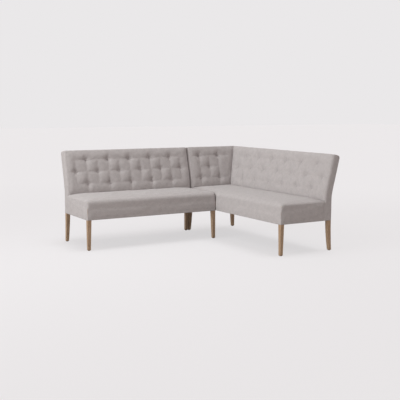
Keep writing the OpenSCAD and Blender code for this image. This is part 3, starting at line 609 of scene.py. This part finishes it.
def settle(made):
    """Applies the modifiers of an object."""
    shown = made.evaluated_get(bpy.context.evaluated_depsgraph_get())
    mesh = bpy.data.meshes.new_from_object(shown)
    made.modifiers.clear()
    made.data = mesh
    mesh.name = made.name


def subdivide(made):
    """Subdivides a piece once, which also smooths it."""
    smooth = made.modifiers.new("smooth", "SUBSURF")
    smooth.levels = 1
    smooth.render_levels = 1
    settle(made)


def combine(made, forms, operation):
    """Cuts forms out of an object, or keeps only what lies in them; the forms are removed."""
    for form in forms:
        step = made.modifiers.new("combine", "BOOLEAN")
        step.operation = operation
        step.solver = "MANIFOLD"
        step.object = form
    settle(made)
    for form in forms:
        bpy.data.objects.remove(form)


def space(name, bm, place):
    """A form to combine with a piece, put at its place."""
    made = solid_of(name, bm)
    made.data.transform(place)
    return made


def stuff(made, held, pressure, shrink, shear):
    """Swells a padded piece as cloth under pressure; held points stay, others move out."""
    scene = bpy.context.scene
    group = made.vertex_groups.new(name="held")
    group.add([int(i) for i in np.flatnonzero(held)], 1.0, "REPLACE")
    cloth = made.modifiers.new("cloth", "CLOTH")
    settings = cloth.settings
    settings.vertex_group_mass = "held"
    settings.pin_stiffness = 1
    settings.quality = 5
    settings.use_pressure = True
    settings.uniform_pressure_force = pressure
    settings.shrink_min = shrink
    settings.shear_stiffness = shear
    settings.effector_weights.gravity = 0
    cloth.collision_settings.use_collision = False
    cloth.point_cache.frame_start = 1
    cloth.point_cache.frame_end = STUFF_FRAMES
    for f in range(1, STUFF_FRAMES + 1):
        scene.frame_set(f)
    start = points_of(made)
    out = normals_of(made)
    move = points_of(made.evaluated_get(bpy.context.evaluated_depsgraph_get())) - start
    swell = np.sum(move * out, axis=1, keepdims=True)
    slide = move - swell * out
    far = np.linalg.norm(slide, axis=1, keepdims=True)
    made.modifiers.clear()
    made.vertex_groups.clear()
    scene.frame_set(1)
    set_points(made, start + out * np.clip(swell, 0, STUFF_CAP)
               + slide * np.minimum(1, STUFF_SLIDE / np.maximum(far, TINY)))


def ripple(co, waves):
    """Uneven heights of a soft surface, from waves with a run, a height and a seed each."""
    total = np.zeros(len(co))
    for run, height, seed in waves:
        offset = Vector((seed * 7.3, seed * 3.1, seed * 5.7))
        total += height * np.array([noise.noise(Vector(p) / run + offset) for p in co])
    return total


def roughen(made, fine):
    """Moves each point of a padded piece out by its own small height, and forgets where it lay."""
    set_points(made, points_of(made) + normals_of(made) * fine[:, None])
    made.data.attributes.remove(made.data.attributes["flat"])


def dip(d, r):
    """A soft dip at d = 0, which fades over about twice r."""
    return np.exp(-(d / r) ** 2)


def arc_fall(d, r):
    """How far a rounded edge of radius r has fallen at a distance d from its end."""
    return r - np.sqrt(r * r - np.clip(r - d, 0, r) ** 2)


def crease_run(d, run):
    """How much of a crease is left at a distance d from its button."""
    kept = 1 - (1 - CREASE_KEPT) * d / run
    return kept * fade(run + CREASE_END - d, 0, 2 * CREASE_END)


def tuft_height(x, s, buttons, edge):
    """Height of the padding over a back's plain face, its distance to a button, its creases."""
    d = np.full(len(x), FAR)
    crease = np.zeros(len(x))
    for bx, bs in buttons:
        a = np.abs(x - bx)
        c = np.abs(s - bs)
        d = np.minimum(d, np.hypot(a, c))
        run = np.where((s > bs) & (bs > ROW_S[-1] - NEAR), CREASE_TOP, ROW_PITCH)
        down = np.exp(-a / CREASE_R) * crease_run(c, run)
        across = CREASE_ACROSS * np.exp(-c / CREASE_R) * crease_run(a, BUTTON_PITCH / 2)
        crease = np.maximum(crease, np.maximum(down, across))
    button = np.exp(-np.maximum(d - TUFT_FLOOR, 0) / TUFT_R)
    swell = TUFT_PUFF * (1 - dip(d, 2 * TUFT_R)) - CREASE_SINK * crease * (1 - button)
    return edge * swell - TUFT_SINK * button, d, crease


def pucker_height(x, s, buttons):
    """Small folds that run out from each button."""
    total = np.zeros(len(x))
    rng = random.Random(5)
    for bx, bs in buttons:
        d = np.hypot(x - bx, s - bs)
        turn = np.arctan2(s - bs, x - bx)
        folds = rng.choice((5, 6, 7))
        fold = np.cos(folds * turn + rng.uniform(0, 6))
        fold += 0.6 * np.cos(3 * turn + rng.uniform(0, 6))
        total += PUCKER * fold * dip(d - PUCKER_R, PUCKER_R)
    return total


def bend(co):
    """Bends a piece that was built flat, with the back's front towards -Y."""
    y, z = back_point(co[:, 2], -co[:, 1])
    return np.stack([co[:, 0], y, z], axis=1)


def mitre(made, length, left, right):
    """Cuts a back's piece along the mitre at the wall corner, and closes it."""
    bm = bmesh.new()
    bm.from_mesh(made.data)
    for end, sign in [(FIT / 2, 1)] * left + [(length - FIT / 2, -1)] * right:
        cut = bmesh.ops.bisect_plane(bm, geom=everything(bm), dist=WELD, plane_co=(end, 0, 0),
                                     plane_no=(sign, 1, 0), clear_inner=True)
        rim = [e for e in cut["geom_cut"] if isinstance(e, bmesh.types.BMEdge)]
        bmesh.ops.holes_fill(bm, edges=rim, sides=0)
    bm.to_mesh(made.data)
    bm.free()


def back_ends(length, inset, over, left, right):
    """Where a piece of a back starts and ends; it runs on past an end that is to be mitred."""
    reach = BACK_REACH + over
    return (-reach if left else inset), (length + reach if right else length - inset)


def back_space(length, spans, place, left, right):
    """A space inside a back, inset from its ends, from s0 to s1 along it and w0 to w1 across."""
    inset, s0, s1, w0, w1 = spans
    x0, x1 = back_ends(length, inset, 2 * MITRE_OVER, left, right)
    bm = block((x0, -w1, s0), (x1, -w0, s1))
    rule(bm, Z, even(s0, s1, CLOTH_CELL))
    for vert in bm.verts:
        y, z = back_point(vert.co.z, -vert.co.y)
        vert.co = (vert.co.x, y, z)
    return space("back_space", bm, place)


def back_form(length, buttons, left, right):
    """A back's cover before it is bent, with its cells in line with its buttons."""
    x0, x1 = back_ends(length, 0, MITRE_OVER, left, right)
    bm = block((x0, -BACK_T, 0), (x1, 0, BACK_S))
    round_edges(bm, lambda a, b: at(a, b, Z, BACK_S) and at(a, b, Y, -BACK_T), BACK_FRONT_R, 5)
    round_edges(bm, lambda a, b: at(a, b, Z, BACK_S) and at(a, b, Y, 0), BACK_REAR_R, 5)
    for end, way, mitred in ((x0, 1, left), (x1, -1, right)):
        if not mitred:
            round_edges(bm, lambda a, b: at(a, b, X, end) and not at(a, b, Z, 0), BACK_EDGE_R, 2)
            rule(bm, X, [end + way * d for d in BACK_CUTS])
    rule(bm, X, in_line(buttons[0][0], CELL_X, x0 + BACK_END_R + GAP_X, x1 - BACK_END_R - GAP_X))
    rule(bm, Z, in_line(ROW_S[0], CELL_S, GAP_S, BACK_S - BACK_REAR_R - GAP_S))
    rule(bm, Y, even(-BACK_T + BACK_FRONT_R, -BACK_REAR_R, CELL_W))
    box_cloth(bm)
    keep_sharp(bm)
    return bm


def padded_back(name, length, buttons, place, left=False, right=False):
    """Tufted back of a bench: built flat, bent, stuffed, mitred at the corner and hollowed."""
    made = piece(name, back_form(length, buttons, left, right), COVER, (name,))
    keep_flat(made)
    flat = points_of(made)
    x, s, w = flat[:, 0], flat[:, 2], -flat[:, 1]
    ends = np.minimum(FAR if left else x, FAR if right else length - x)
    mitred = np.minimum(x if left else FAR, length - x if right else FAR) + back_point(s, w)[0]
    edge = np.minimum(fade(ends, BACK_END_R, TUFT_R), fade(BACK_S - BACK_FRONT_R - s, 0, TUFT_R))
    foot = fade(s, PLAIN_S, FOOT_FADE)
    face = fade(w, BACK_T - BACK_FRONT_R, BACK_FRONT_R)
    height, near, crease = tuft_height(x, s, buttons, edge)
    height = height - MITRE_SINK * dip(np.maximum(mitred, 0), MITRE_R)
    flat[:, 1] -= height * face * foot
    end = fade(w, BACK_T - BACK_END_D, BACK_END_D) * fade(s, SEAT_T - SEAT_END_R, SEAT_END_R)
    flat[:, 1] += arc_fall(ends, BACK_END_R) * end
    flat[:, 1] -= arc_fall(ends, BACK_EDGE_R) * face
    set_points(made, bend(flat))
    held = ((face < 0.99) | (edge <= 0) | (foot <= 0) | (near < BUTTON_D / 2) | (mitred < HELD_RIM)
            | (crease > CREASE_HELD))
    stuff(made, held, pressure=3.0, shrink=-0.008, shear=1.0)
    subdivide(made)
    flat = flat_of(made)
    x, s, w = flat[:, 0], flat[:, 2], -flat[:, 1]
    face = fade(w, BACK_T - PUCKER_FADE, PUCKER_FADE)
    foot = fade(s, PLAIN_S, FOOT_FADE)
    roughen(made, pucker_height(x, s, buttons) * face * foot + ripple(flat, BACK_RIPPLES))
    mitre(made, length, left, right)
    made.data.transform(place)
    cuts = ((COVER_T, -PAST, LIP_S, -PAST, LINING_W),
            (COVER_T, -PAST, BACK_S - TOP_PAD + FIT, COVER_T, LINING_W),
            (COVER_T, -PAST, DECK_S, -PAST, BACK_T + PAST))
    combine(made, [back_space(length, c, place, left, right) for c in cuts], "DIFFERENCE")
    return made


def at_free_end(a, b, x0, x1, free_left):
    """Whether an edge lies at an end of a seat that meets no back."""
    return at(a, b, X, x1) or (free_left and at(a, b, X, x0))


def round_top(bm, x0, rear, top, free_left, radius):
    """Rounds the top edges of a seat, but not where it meets a back."""
    round_edges(bm, lambda a, b: at(a, b, Z, top) and not at(a, b, Y, rear)
                and (free_left or not at(a, b, X, x0)), radius, 4)


def seat_space(length, x0, place, free_left):
    """The space in a seat's cover for its foam, with the foam's rounded edges."""
    top = FOAM_TOP + FIT
    front = SKIN - FIT - DEPTH
    x0 = x0 + SKIN - FIT if free_left else -PAST
    x1 = length - SKIN + FIT
    forms = []
    for low, high, radius, chosen in (
            ((x0, front, DECK_Z - OVERLAP), (x1, PAST, top), SEAT_CORNER_R - SKIN,
             lambda a, b: at_free_end(a, b, x0, x1, free_left) and at(a, b, Y, front)),
            ((-5 * PAST, front, UNDER), (length + 5 * PAST, PAST, top), FOAM_FRONT_R,
             lambda a, b: at(a, b, Y, front) and at(a, b, Z, top)),
            ((x0, front - 2 * PAST, UNDER), (x1, PAST, top), FOAM_END_R,
             lambda a, b: at_free_end(a, b, x0, x1, free_left) and at(a, b, Z, top))):
        bm = block(low, high)
        round_edges(bm, chosen, radius, 4)
        forms.append(space("foam_space", bm, place))
    combine(forms[0], forms[1:], "INTERSECT")
    return forms[0]


def frame_space(length, place, free_left):
    """The spaces in a seat's cover for its frame, between its hems and for its legs."""
    skin = SKIN - FIT
    leg = FRAME_W + FIT
    low = UNDER - PAST
    high = UNDER + PAST
    spans = [("deck_space", (skin if free_left else -PAST, skin - DEPTH, UNDER),
              (length - skin, PAST, DECK_Z + FIT)),
             ("hem_space", (HEM if free_left else -PAST, HEM - DEPTH, low),
              (length - HEM, PAST, high))]
    for x in ([skin] if free_left else []) + [length - leg]:
        spans.append(("leg_space", (x, skin - DEPTH, low), (x + leg - skin, leg - DEPTH, high)))
    return [space(name, block(start, end), place) for name, start, end in spans]


def seat_foam(name, length, x0, place, free_left):
    """Foam block of a seat, with the soft edges and corners of the cover over it."""
    front = SKIN - DEPTH
    rear = -BACK_T - 2 * FIT
    x0 = x0 + SKIN if free_left else x0
    x1 = length - SKIN
    bm = block((x0, front, DECK_Z), (x1, rear, FOAM_TOP))
    round_edges(bm, lambda a, b: at_free_end(a, b, x0, x1, free_left) and at(a, b, Y, front),
                SEAT_CORNER_R - SKIN, 4)
    round_top(bm, x0, rear, FOAM_TOP, free_left, FOAM_END_R)
    rule(bm, X, even(x0 + FOAM_END_R, x1 - FOAM_END_R, FOAM_CELL))
    rule(bm, Y, [front + FOAM_CUT, front + FOAM_FRONT_R]
         + even(front + FOAM_FRONT_R, rear, FOAM_CELL))
    inner = np.array([v.co.y - front for v in bm.verts])
    fall = arc_fall(inner, FOAM_FRONT_R) - arc_fall(inner, FOAM_END_R)
    for v, f in zip(bm.verts, fall):
        v.co.z -= f * max(0, (v.co.z - DECK_Z) / (FOAM_TOP - DECK_Z)) ** 2
    made = piece(name, bm, FOAM, (name,))
    made.data.transform(place)
    return made


def seat_form(length, x0, rear, free_left):
    """A seat's cover before it is crowned: a box with rounded edges, cut into cells."""
    bm = block((x0, -DEPTH, UNDER - HEM_T), (length, rear, SEAT_H))
    round_top(bm, x0, rear, SEAT_H, free_left, SEAT_END_R)
    rule(bm, X, [length - d for d in SEAT_CUTS] + [x0 + d for d in SEAT_CUTS if free_left]
         + even(x0 + SEAT_END_R, length - SEAT_END_R, SEAT_CELL))
    rule(bm, Y, [d - DEPTH for d in SEAT_CUTS] + even(-DEPTH + SEAT_END_R, rear, SEAT_CELL))
    rule(bm, Z, even(UNDER + SEAT_EDGE, SEAT_H - SEAT_END_R, SEAT_CELL))
    box_cloth(bm)
    keep_sharp(bm)
    return bm


def edge_crown(d):
    """How much of a seat's crown is reached at a distance d from an edge."""
    return np.sin(np.pi / 2 * fade(d, 0, CROWN_RUN))


def padded_seat(name, length, x0, place, free_left):
    """Seat of a bench: a crowned top with rounded edges, a skirt, and a hem turned under it."""
    rear = -BACK_T - FIT
    made = piece(name, seat_form(length, x0, rear, free_left), COVER, (name,))
    keep_flat(made)
    x, y, z = points_of(made).T
    ends = np.minimum(x - x0 if free_left else FAR, length - x)
    front = y + DEPTH
    above = fade(z, UNDER, SEAT_T - CROWN_DEEP) ** 2
    drop = fade(SEAT_H - z, 0, SEAT_T)
    lift = (SEAT_CROWN * edge_crown(ends) * edge_crown(front)
            - arc_fall(front, SEAT_FRONT_R) + arc_fall(front, SEAT_END_R))
    draw = APRON_DRAW * np.sin(np.pi * drop) + APRON_DRAW / 4 * drop
    out_x = np.where(x > length - SEAT_EDGE, -1, 0)
    if free_left:
        out_x += np.where(x < x0 + SEAT_EDGE, 1, 0)
    out_y = np.where(y < -DEPTH + SEAT_EDGE, 1, 0)
    # Each corner is drawn in to an arc, whose radius grows from the frame up
    r = SEAT_LOW_R + (SEAT_CORNER_R - SEAT_LOW_R) * fade(z, DECK_Z, CORNER_RISE)
    a = np.maximum(r - ends, TINY)
    b = np.maximum(r - front, TINY)
    pull = 1 - np.maximum(a, b) / np.hypot(a, b)
    side = np.where(length - x < x - x0, -1, 1)
    x = x + out_x * draw + side * a * pull
    y = y + out_y * draw + b * pull
    set_points(made, np.stack([x, y, z + lift * above], axis=1))
    held = (z < UNDER + HELD_SKIRT) | (y > rear - HELD_RIM)
    if not free_left:
        held |= x < x0 + HELD_RIM
    stuff(made, held, pressure=0.8, shrink=-0.004, shear=5.0)
    subdivide(made)
    flat = flat_of(made)
    fine = ripple(flat, SEAT_RIPPLES)
    fine *= fade(rear - flat[:, 1], 0, RIPPLE_FADE) * fade(flat[:, 2], UNDER, RIPPLE_FADE)
    roughen(made, fine)
    made.data.transform(place)
    combine(made, [seat_space(length, x0, place, free_left)]
            + frame_space(length, place, free_left), "DIFFERENCE")
    return made


def outside_back(name, length, place, left=False, right=False):
    """Cloth stretched over the rear of a back, tacked down its sides and over its top."""
    s1 = LIP_S - FIT
    x0, x1 = back_ends(length, SKIN, MITRE_OVER, left, right)
    bm = block((x0, -OUTSIDE_T, 0), (x1, 0, s1))
    round_edges(bm, lambda a, b: at(a, b, Y, 0), OUTSIDE_R, 3)
    rule(bm, X, even(x0 + OUTSIDE_T, x1 - OUTSIDE_T, CLOTH_CELL))
    rule(bm, Z, even(OUTSIDE_T, s1 - OUTSIDE_T, OUTSIDE_CELL))
    box_cloth(bm)
    made = piece(name, bm, COVER, (name,))
    flat = points_of(made)
    s = flat[:, 2]
    slack = fade(np.minimum(s, s1 - s), 0, SLACK_FADE)
    rear = flat[:, 1] > -OUTSIDE_T * 0.6
    flat[:, 1] += rear * slack * ripple(flat, OUTSIDE_RIPPLES)
    set_points(made, bend(flat))
    mitre(made, length, left, right)
    made.data.transform(place)
    return made


def dust_cover(name, length, place):
    """Cloth stretched under a seat, notched round the legs, sagging between the rails."""
    low = DUST_MARGIN
    notch = FRAME_W + FIT

    def inset(point):
        """How far a point lies in from the nearer end, and from the nearer long edge."""
        return min(point.x, length - point.x), min(-point.y, DEPTH + point.y)

    bm = bmesh.new()
    bmesh.ops.create_grid(bm, x_segments=1, y_segments=1, size=0.5)
    bmesh.ops.scale(bm, vec=(length - 2 * low, DEPTH - 2 * low, 1), verts=bm.verts[:])
    bmesh.ops.translate(bm, vec=(length / 2, -DEPTH / 2, UNDER - DUST_T), verts=bm.verts[:])
    rule(bm, X, [notch] + even(notch, length - notch, CLOTH_CELL) + [length - notch])
    rule(bm, Y, [notch - DEPTH] + even(notch - DEPTH, -notch, CLOTH_CELL) + [-notch])
    corners = [f for f in bm.faces if max(inset(f.calc_center_median())) < notch]
    bmesh.ops.delete(bm, geom=corners, context="FACES")
    for v in bm.verts:
        share = max(0, min(1, (min(inset(v.co)) - RAIL_IN) / SAG_RUN))
        v.co.z -= DUST_SAG * math.sin(math.pi / 2 * share)
    box_cloth(bm)
    bmesh.ops.solidify(bm, geom=bm.faces[:], thickness=-DUST_T)
    bmesh.ops.recalc_face_normals(bm, faces=bm.faces[:])
    made = piece(name, bm, DUST_CLOTH, (name,))
    made.data.transform(place)
    return made


def staples(name, length, place):
    """Staples round the edge of a dust cover, each a flat crown of wire."""
    line = DUST_MARGIN + STAPLE_IN
    n = round((length - 2 * FRAME_W) / STAPLE_PITCH)
    m = round((DEPTH - 2 * FRAME_W) / STAPLE_PITCH)
    places = [(FRAME_W + (i + 0.5) * (length - 2 * FRAME_W) / n, y, 0)
              for i in range(n) for y in (-line, line - DEPTH)]
    places += [(x, -FRAME_W - (i + 0.5) * (DEPTH - 2 * FRAME_W) / m, 90)
               for i in range(m) for x in (line, length - line)]
    rng = random.Random(8)
    bm = block((-STAPLE_L / 2, -STAPLE_W / 2, -STAPLE_H), (STAPLE_L / 2, STAPLE_W / 2, 0))
    round_edges(bm, lambda a, b: at(a, b, Z, -STAPLE_H), STAPLE_R, 1)
    repeat(bm, [Matrix.Translation((x, y, UNDER - 2 * DUST_T))
                @ Matrix.Rotation(math.radians(turn + rng.uniform(-14, 14)), 4, "Z")
                for x, y, turn in places])
    made = piece(name, bm, STEEL, (), False)
    made.data.transform(place)
    return made


def covered_buttons(name, buttons, place):
    """Covered buttons, each a turned dome with a gathered rim, seated in its tuft."""
    half = BUTTON_D / 2
    profile = [(0, BUTTON_H), (half * 0.45, BUTTON_H * 0.9), (half * 0.8, BUTTON_H * 0.55),
               (half * 0.98, BUTTON_H * 0.1), (half * 0.94, -BUTTON_H * 0.25),
               (half * 0.6, -0.003), (0, -0.0035)]
    bm = bmesh.new()
    verts = [bm.verts.new((r, 0, h)) for r, h in profile]
    edges = [bm.edges.new(pair) for pair in zip(verts, verts[1:])]
    bmesh.ops.spin(bm, geom=verts + edges, cent=(0, 0, 0), axis=(0, 0, 1), angle=2 * math.pi,
                   steps=24, use_merge=True)
    bmesh.ops.remove_doubles(bm, verts=bm.verts[:], dist=WELD)
    bmesh.ops.recalc_face_normals(bm, faces=bm.faces[:])
    places = []
    for x, s in buttons:
        y, z = back_point(s, BUTTON_W)
        places.append(Matrix.Translation((x, y, z))
                      @ Matrix.Rotation(math.pi / 2 - float(back_angle(s)), 4, "X"))
    repeat(bm, places)
    box_cloth(bm)
    # The buttons' cloth is painted a little darker than the cover, as painted shade in their tufts
    made = piece(name, bm, SHADED_BUTTON_CLOTH, (name,))
    made.data.transform(place)
    return made


padded_back("bench_back_cover", BENCH_L, BENCH_BUTTONS, AT_BENCH)
padded_back("corner_long_back_cover", CORNER_L, LONG_BUTTONS, AT_CORNER, left=True)
padded_back("corner_short_back_cover", DEPTH, SHORT_BUTTONS, AT_SHORT, right=True)
padded_seat("bench_seat_cover", BENCH_L, 0, AT_BENCH, free_left=True)
padded_seat("corner_seat_cover", CORNER_L, BACK_T + FIT, AT_CORNER, free_left=False)
covered_buttons("bench_buttons", BENCH_BUTTONS, AT_BENCH)
covered_buttons("corner_long_buttons", LONG_BUTTONS, AT_CORNER)
covered_buttons("corner_short_buttons", SHORT_BUTTONS, AT_SHORT)
seat_foam("bench_seat_foam", BENCH_L, 0, AT_BENCH, free_left=True)
seat_foam("corner_seat_foam", CORNER_L, BACK_T + FIT, AT_CORNER, free_left=False)
outside_back("bench_outside_back", BENCH_L, AT_BENCH)
outside_back("corner_long_outside_back", CORNER_L, AT_CORNER, left=True)
outside_back("corner_short_outside_back", DEPTH, AT_SHORT, right=True)
dust_cover("bench_dust_cover", BENCH_L, AT_BENCH)
dust_cover("corner_dust_cover", CORNER_L, AT_CORNER)
staples("bench_staples", BENCH_L, AT_BENCH)
staples("corner_staples", CORNER_L, AT_CORNER)

# Finishes of the CAD nodes that stay, by a word in their names, and the way that the timber of
# each bench runs. Timber that no word names runs the bench's long way.
FINISHES = (("leg_bolts", STEEL), ("glides", NYLON), ("link", STEEL), ("foam", FOAM),
            ("board", PLYWOOD), ("webbing", WEBBING), ("ties", TWINE), ("leg", OAK))
LONG_WAY = {"bench": X, "corner": Y}
TIMBER = {"bench": (("cross_rails", Y), ("end_rails", Y), ("slats", Z)),
          "corner": (("cross_rails", X), ("end_rails", X), ("slats", Z))}


def finish_of(node):
    """The material of a CAD node that keeps its own shape."""
    for word, finish in FINISHES:
        if word in node:
            return finish
    ward = node.split("_")[0]
    for word, way in TIMBER[ward]:
        if word in node:
            return BEECH[way]
    return BEECH[LONG_WAY[ward]]


for node_name, node_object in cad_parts.items():
    node_object.data.materials.clear()
    node_object.data.materials.append(finish_of(node_name))


# Camera, fitted to the corners of the seats, backs and legs in the photo
CAMERA_AT = (-3.6644, -6.2364, 1.348)
YAW = 0.5364
PITCH = 0.1257
ROLL = 0.0031
LENS = 66.94
SHIFT = (0.00102, 0.00235)

ahead = Vector((math.sin(YAW) * math.cos(PITCH), math.cos(YAW) * math.cos(PITCH),
                -math.sin(PITCH)))
across = ahead.cross(Vector((0, 0, 1))).normalized()
up = across.cross(ahead)
turned_x = across * math.cos(ROLL) + up * math.sin(ROLL)
turned_y = up * math.cos(ROLL) - across * math.sin(ROLL)
lens = bpy.data.cameras.new("camera")
lens.lens = LENS
lens.shift_x, lens.shift_y = SHIFT
camera = object_of("camera", lens)
camera.matrix_world = Matrix((
    (turned_x.x, turned_y.x, -ahead.x, CAMERA_AT[0]),
    (turned_x.y, turned_y.y, -ahead.y, CAMERA_AT[1]),
    (turned_x.z, turned_y.z, -ahead.z, CAMERA_AT[2]),
    (0, 0, 0, 1)))
bpy.context.scene.camera = camera


# Studio: a pale floor and backdrop, a low lamp and a soft box at the left, a lamp and a soft box
# overhead, and some fill
BACKDROP = "#eae8e9"
FILL = "#aaa29f"
LAMP_TINT = (0.95, 0.99, 1.0)
# The floor gives the camera mostly its own colour, so that only part of it darkens in shadow.
# It glows a little more far from the benches' front left, which evens out what the lamps do.
FLOOR_SHADE = "#c9c4c2"
FLOOR_LIT = "#888687"
FLOOR_GLOW = 0.74
FLOOR_RISE = 0.05
FLOOR_SPOT = (-2.0, -1.0, 0.0)
FLOOR_NEAR = 2.5
FLOOR_FAR = 8.0
FLOOR_SIZE = 40


def seen_plain(tree):
    """1 for rays that show the backdrop's own colour: from the camera, and off metal or glass."""
    path = add(tree, "LightPath")
    shown = path.outputs["Is Camera Ray"]
    for ray in ("Is Glossy Ray", "Is Transmission Ray"):
        either = add(tree, "Math", {0: shown, 1: path.outputs[ray]}, operation="MAXIMUM")
        shown = either.outputs["Value"]
    return shown


def studio_floor():
    """A wide pale floor, which shows its own colour and keeps the object's shadow."""
    bm = bmesh.new()
    bmesh.ops.create_grid(bm, x_segments=1, y_segments=1, size=FLOOR_SIZE)
    floor = solid_of("floor", bm)
    made, tree, shader = material("studio_floor", Roughness=1.0, Specular_IOR_Level=0.0)
    shader.inputs["Base Color"].default_value = linear(FLOOR_SHADE)
    place = add(tree, "TexCoord").outputs["Object"]
    reach = add(tree, "VectorMath", {0: place, 1: FLOOR_SPOT}, operation="DISTANCE")
    level = add(tree, "MapRange", {"Value": reach.outputs["Value"], "From Min": FLOOR_NEAR,
                                   "From Max": FLOOR_FAR, "To Min": FLOOR_GLOW,
                                   "To Max": FLOOR_GLOW + FLOOR_RISE})
    glow = add(tree, "Emission", {"Color": BACKDROP, "Strength": level.outputs["Result"]})
    lit = add(tree, "BsdfDiffuse", {"Color": FLOOR_LIT})
    pale = add(tree, "AddShader", {0: glow.outputs["Emission"], 1: lit.outputs["BSDF"]})
    mixed = add(tree, "MixShader", {"Fac": seen_plain(tree), 1: shader.outputs["BSDF"],
                                    2: pale.outputs["Shader"]})
    tree.links.new(mixed.outputs["Shader"], tree.nodes["Material Output"].inputs["Surface"])
    floor.data.materials.append(made)


def studio_world():
    """The backdrop's colour where it is seen, and a dimmer one that fills the shadows."""
    world = bpy.data.worlds.new("studio")
    bpy.context.scene.world = world
    world.use_nodes = True
    tree = world.node_tree
    sky = add(tree, "Mix", {"Factor": seen_plain(tree), "A": FILL, "B": BACKDROP},
              data_type="RGBA")
    tree.links.new(sky.outputs["Result"], tree.nodes["Background"].inputs["Color"])


def light(name, kind, energy, place, way):
    """A lamp of a kind at a place, on the side of the object that a way points to."""
    made = bpy.data.lights.new(name, kind)
    made.color = LAMP_TINT
    made.energy = energy
    turn = way.to_track_quat("Z", "Y").to_matrix().to_4x4()
    object_of(name, made).matrix_world = Matrix.Translation(place) @ turn
    return made


def far_lamp(name, energy, angle, elevation, azimuth):
    """A broad far lamp; azimuth 0 is in front of the bench and 90 at its left."""
    e = math.radians(elevation)
    z = math.radians(azimuth)
    way = Vector((-math.sin(z) * math.cos(e), -math.cos(z) * math.cos(e), math.sin(e)))
    light(name, "SUN", energy, (0, 0, 0), way).angle = math.radians(angle)


def soft_box(name, energy, size, place, target):
    """A square soft box at a place, turned to a target."""
    light(name, "AREA", energy, place, Vector(place) - Vector(target)).size = size


studio_floor()
studio_world()
far_lamp("top_lamp", 0.335 * math.pi, 30, 75, 270)
far_lamp("left_lamp", 0.47 * math.pi, 30, 7, 80)
soft_box("left_box", 40, 1.4, (-5.0, -0.4, 1.3), (0, 0, 0.4))
soft_box("top_box", 15, 1.4, (-1.4, 0.1, 2.6), (0.2, 0.1, 0.4))

bpy.context.scene.view_settings.view_transform = "Standard"
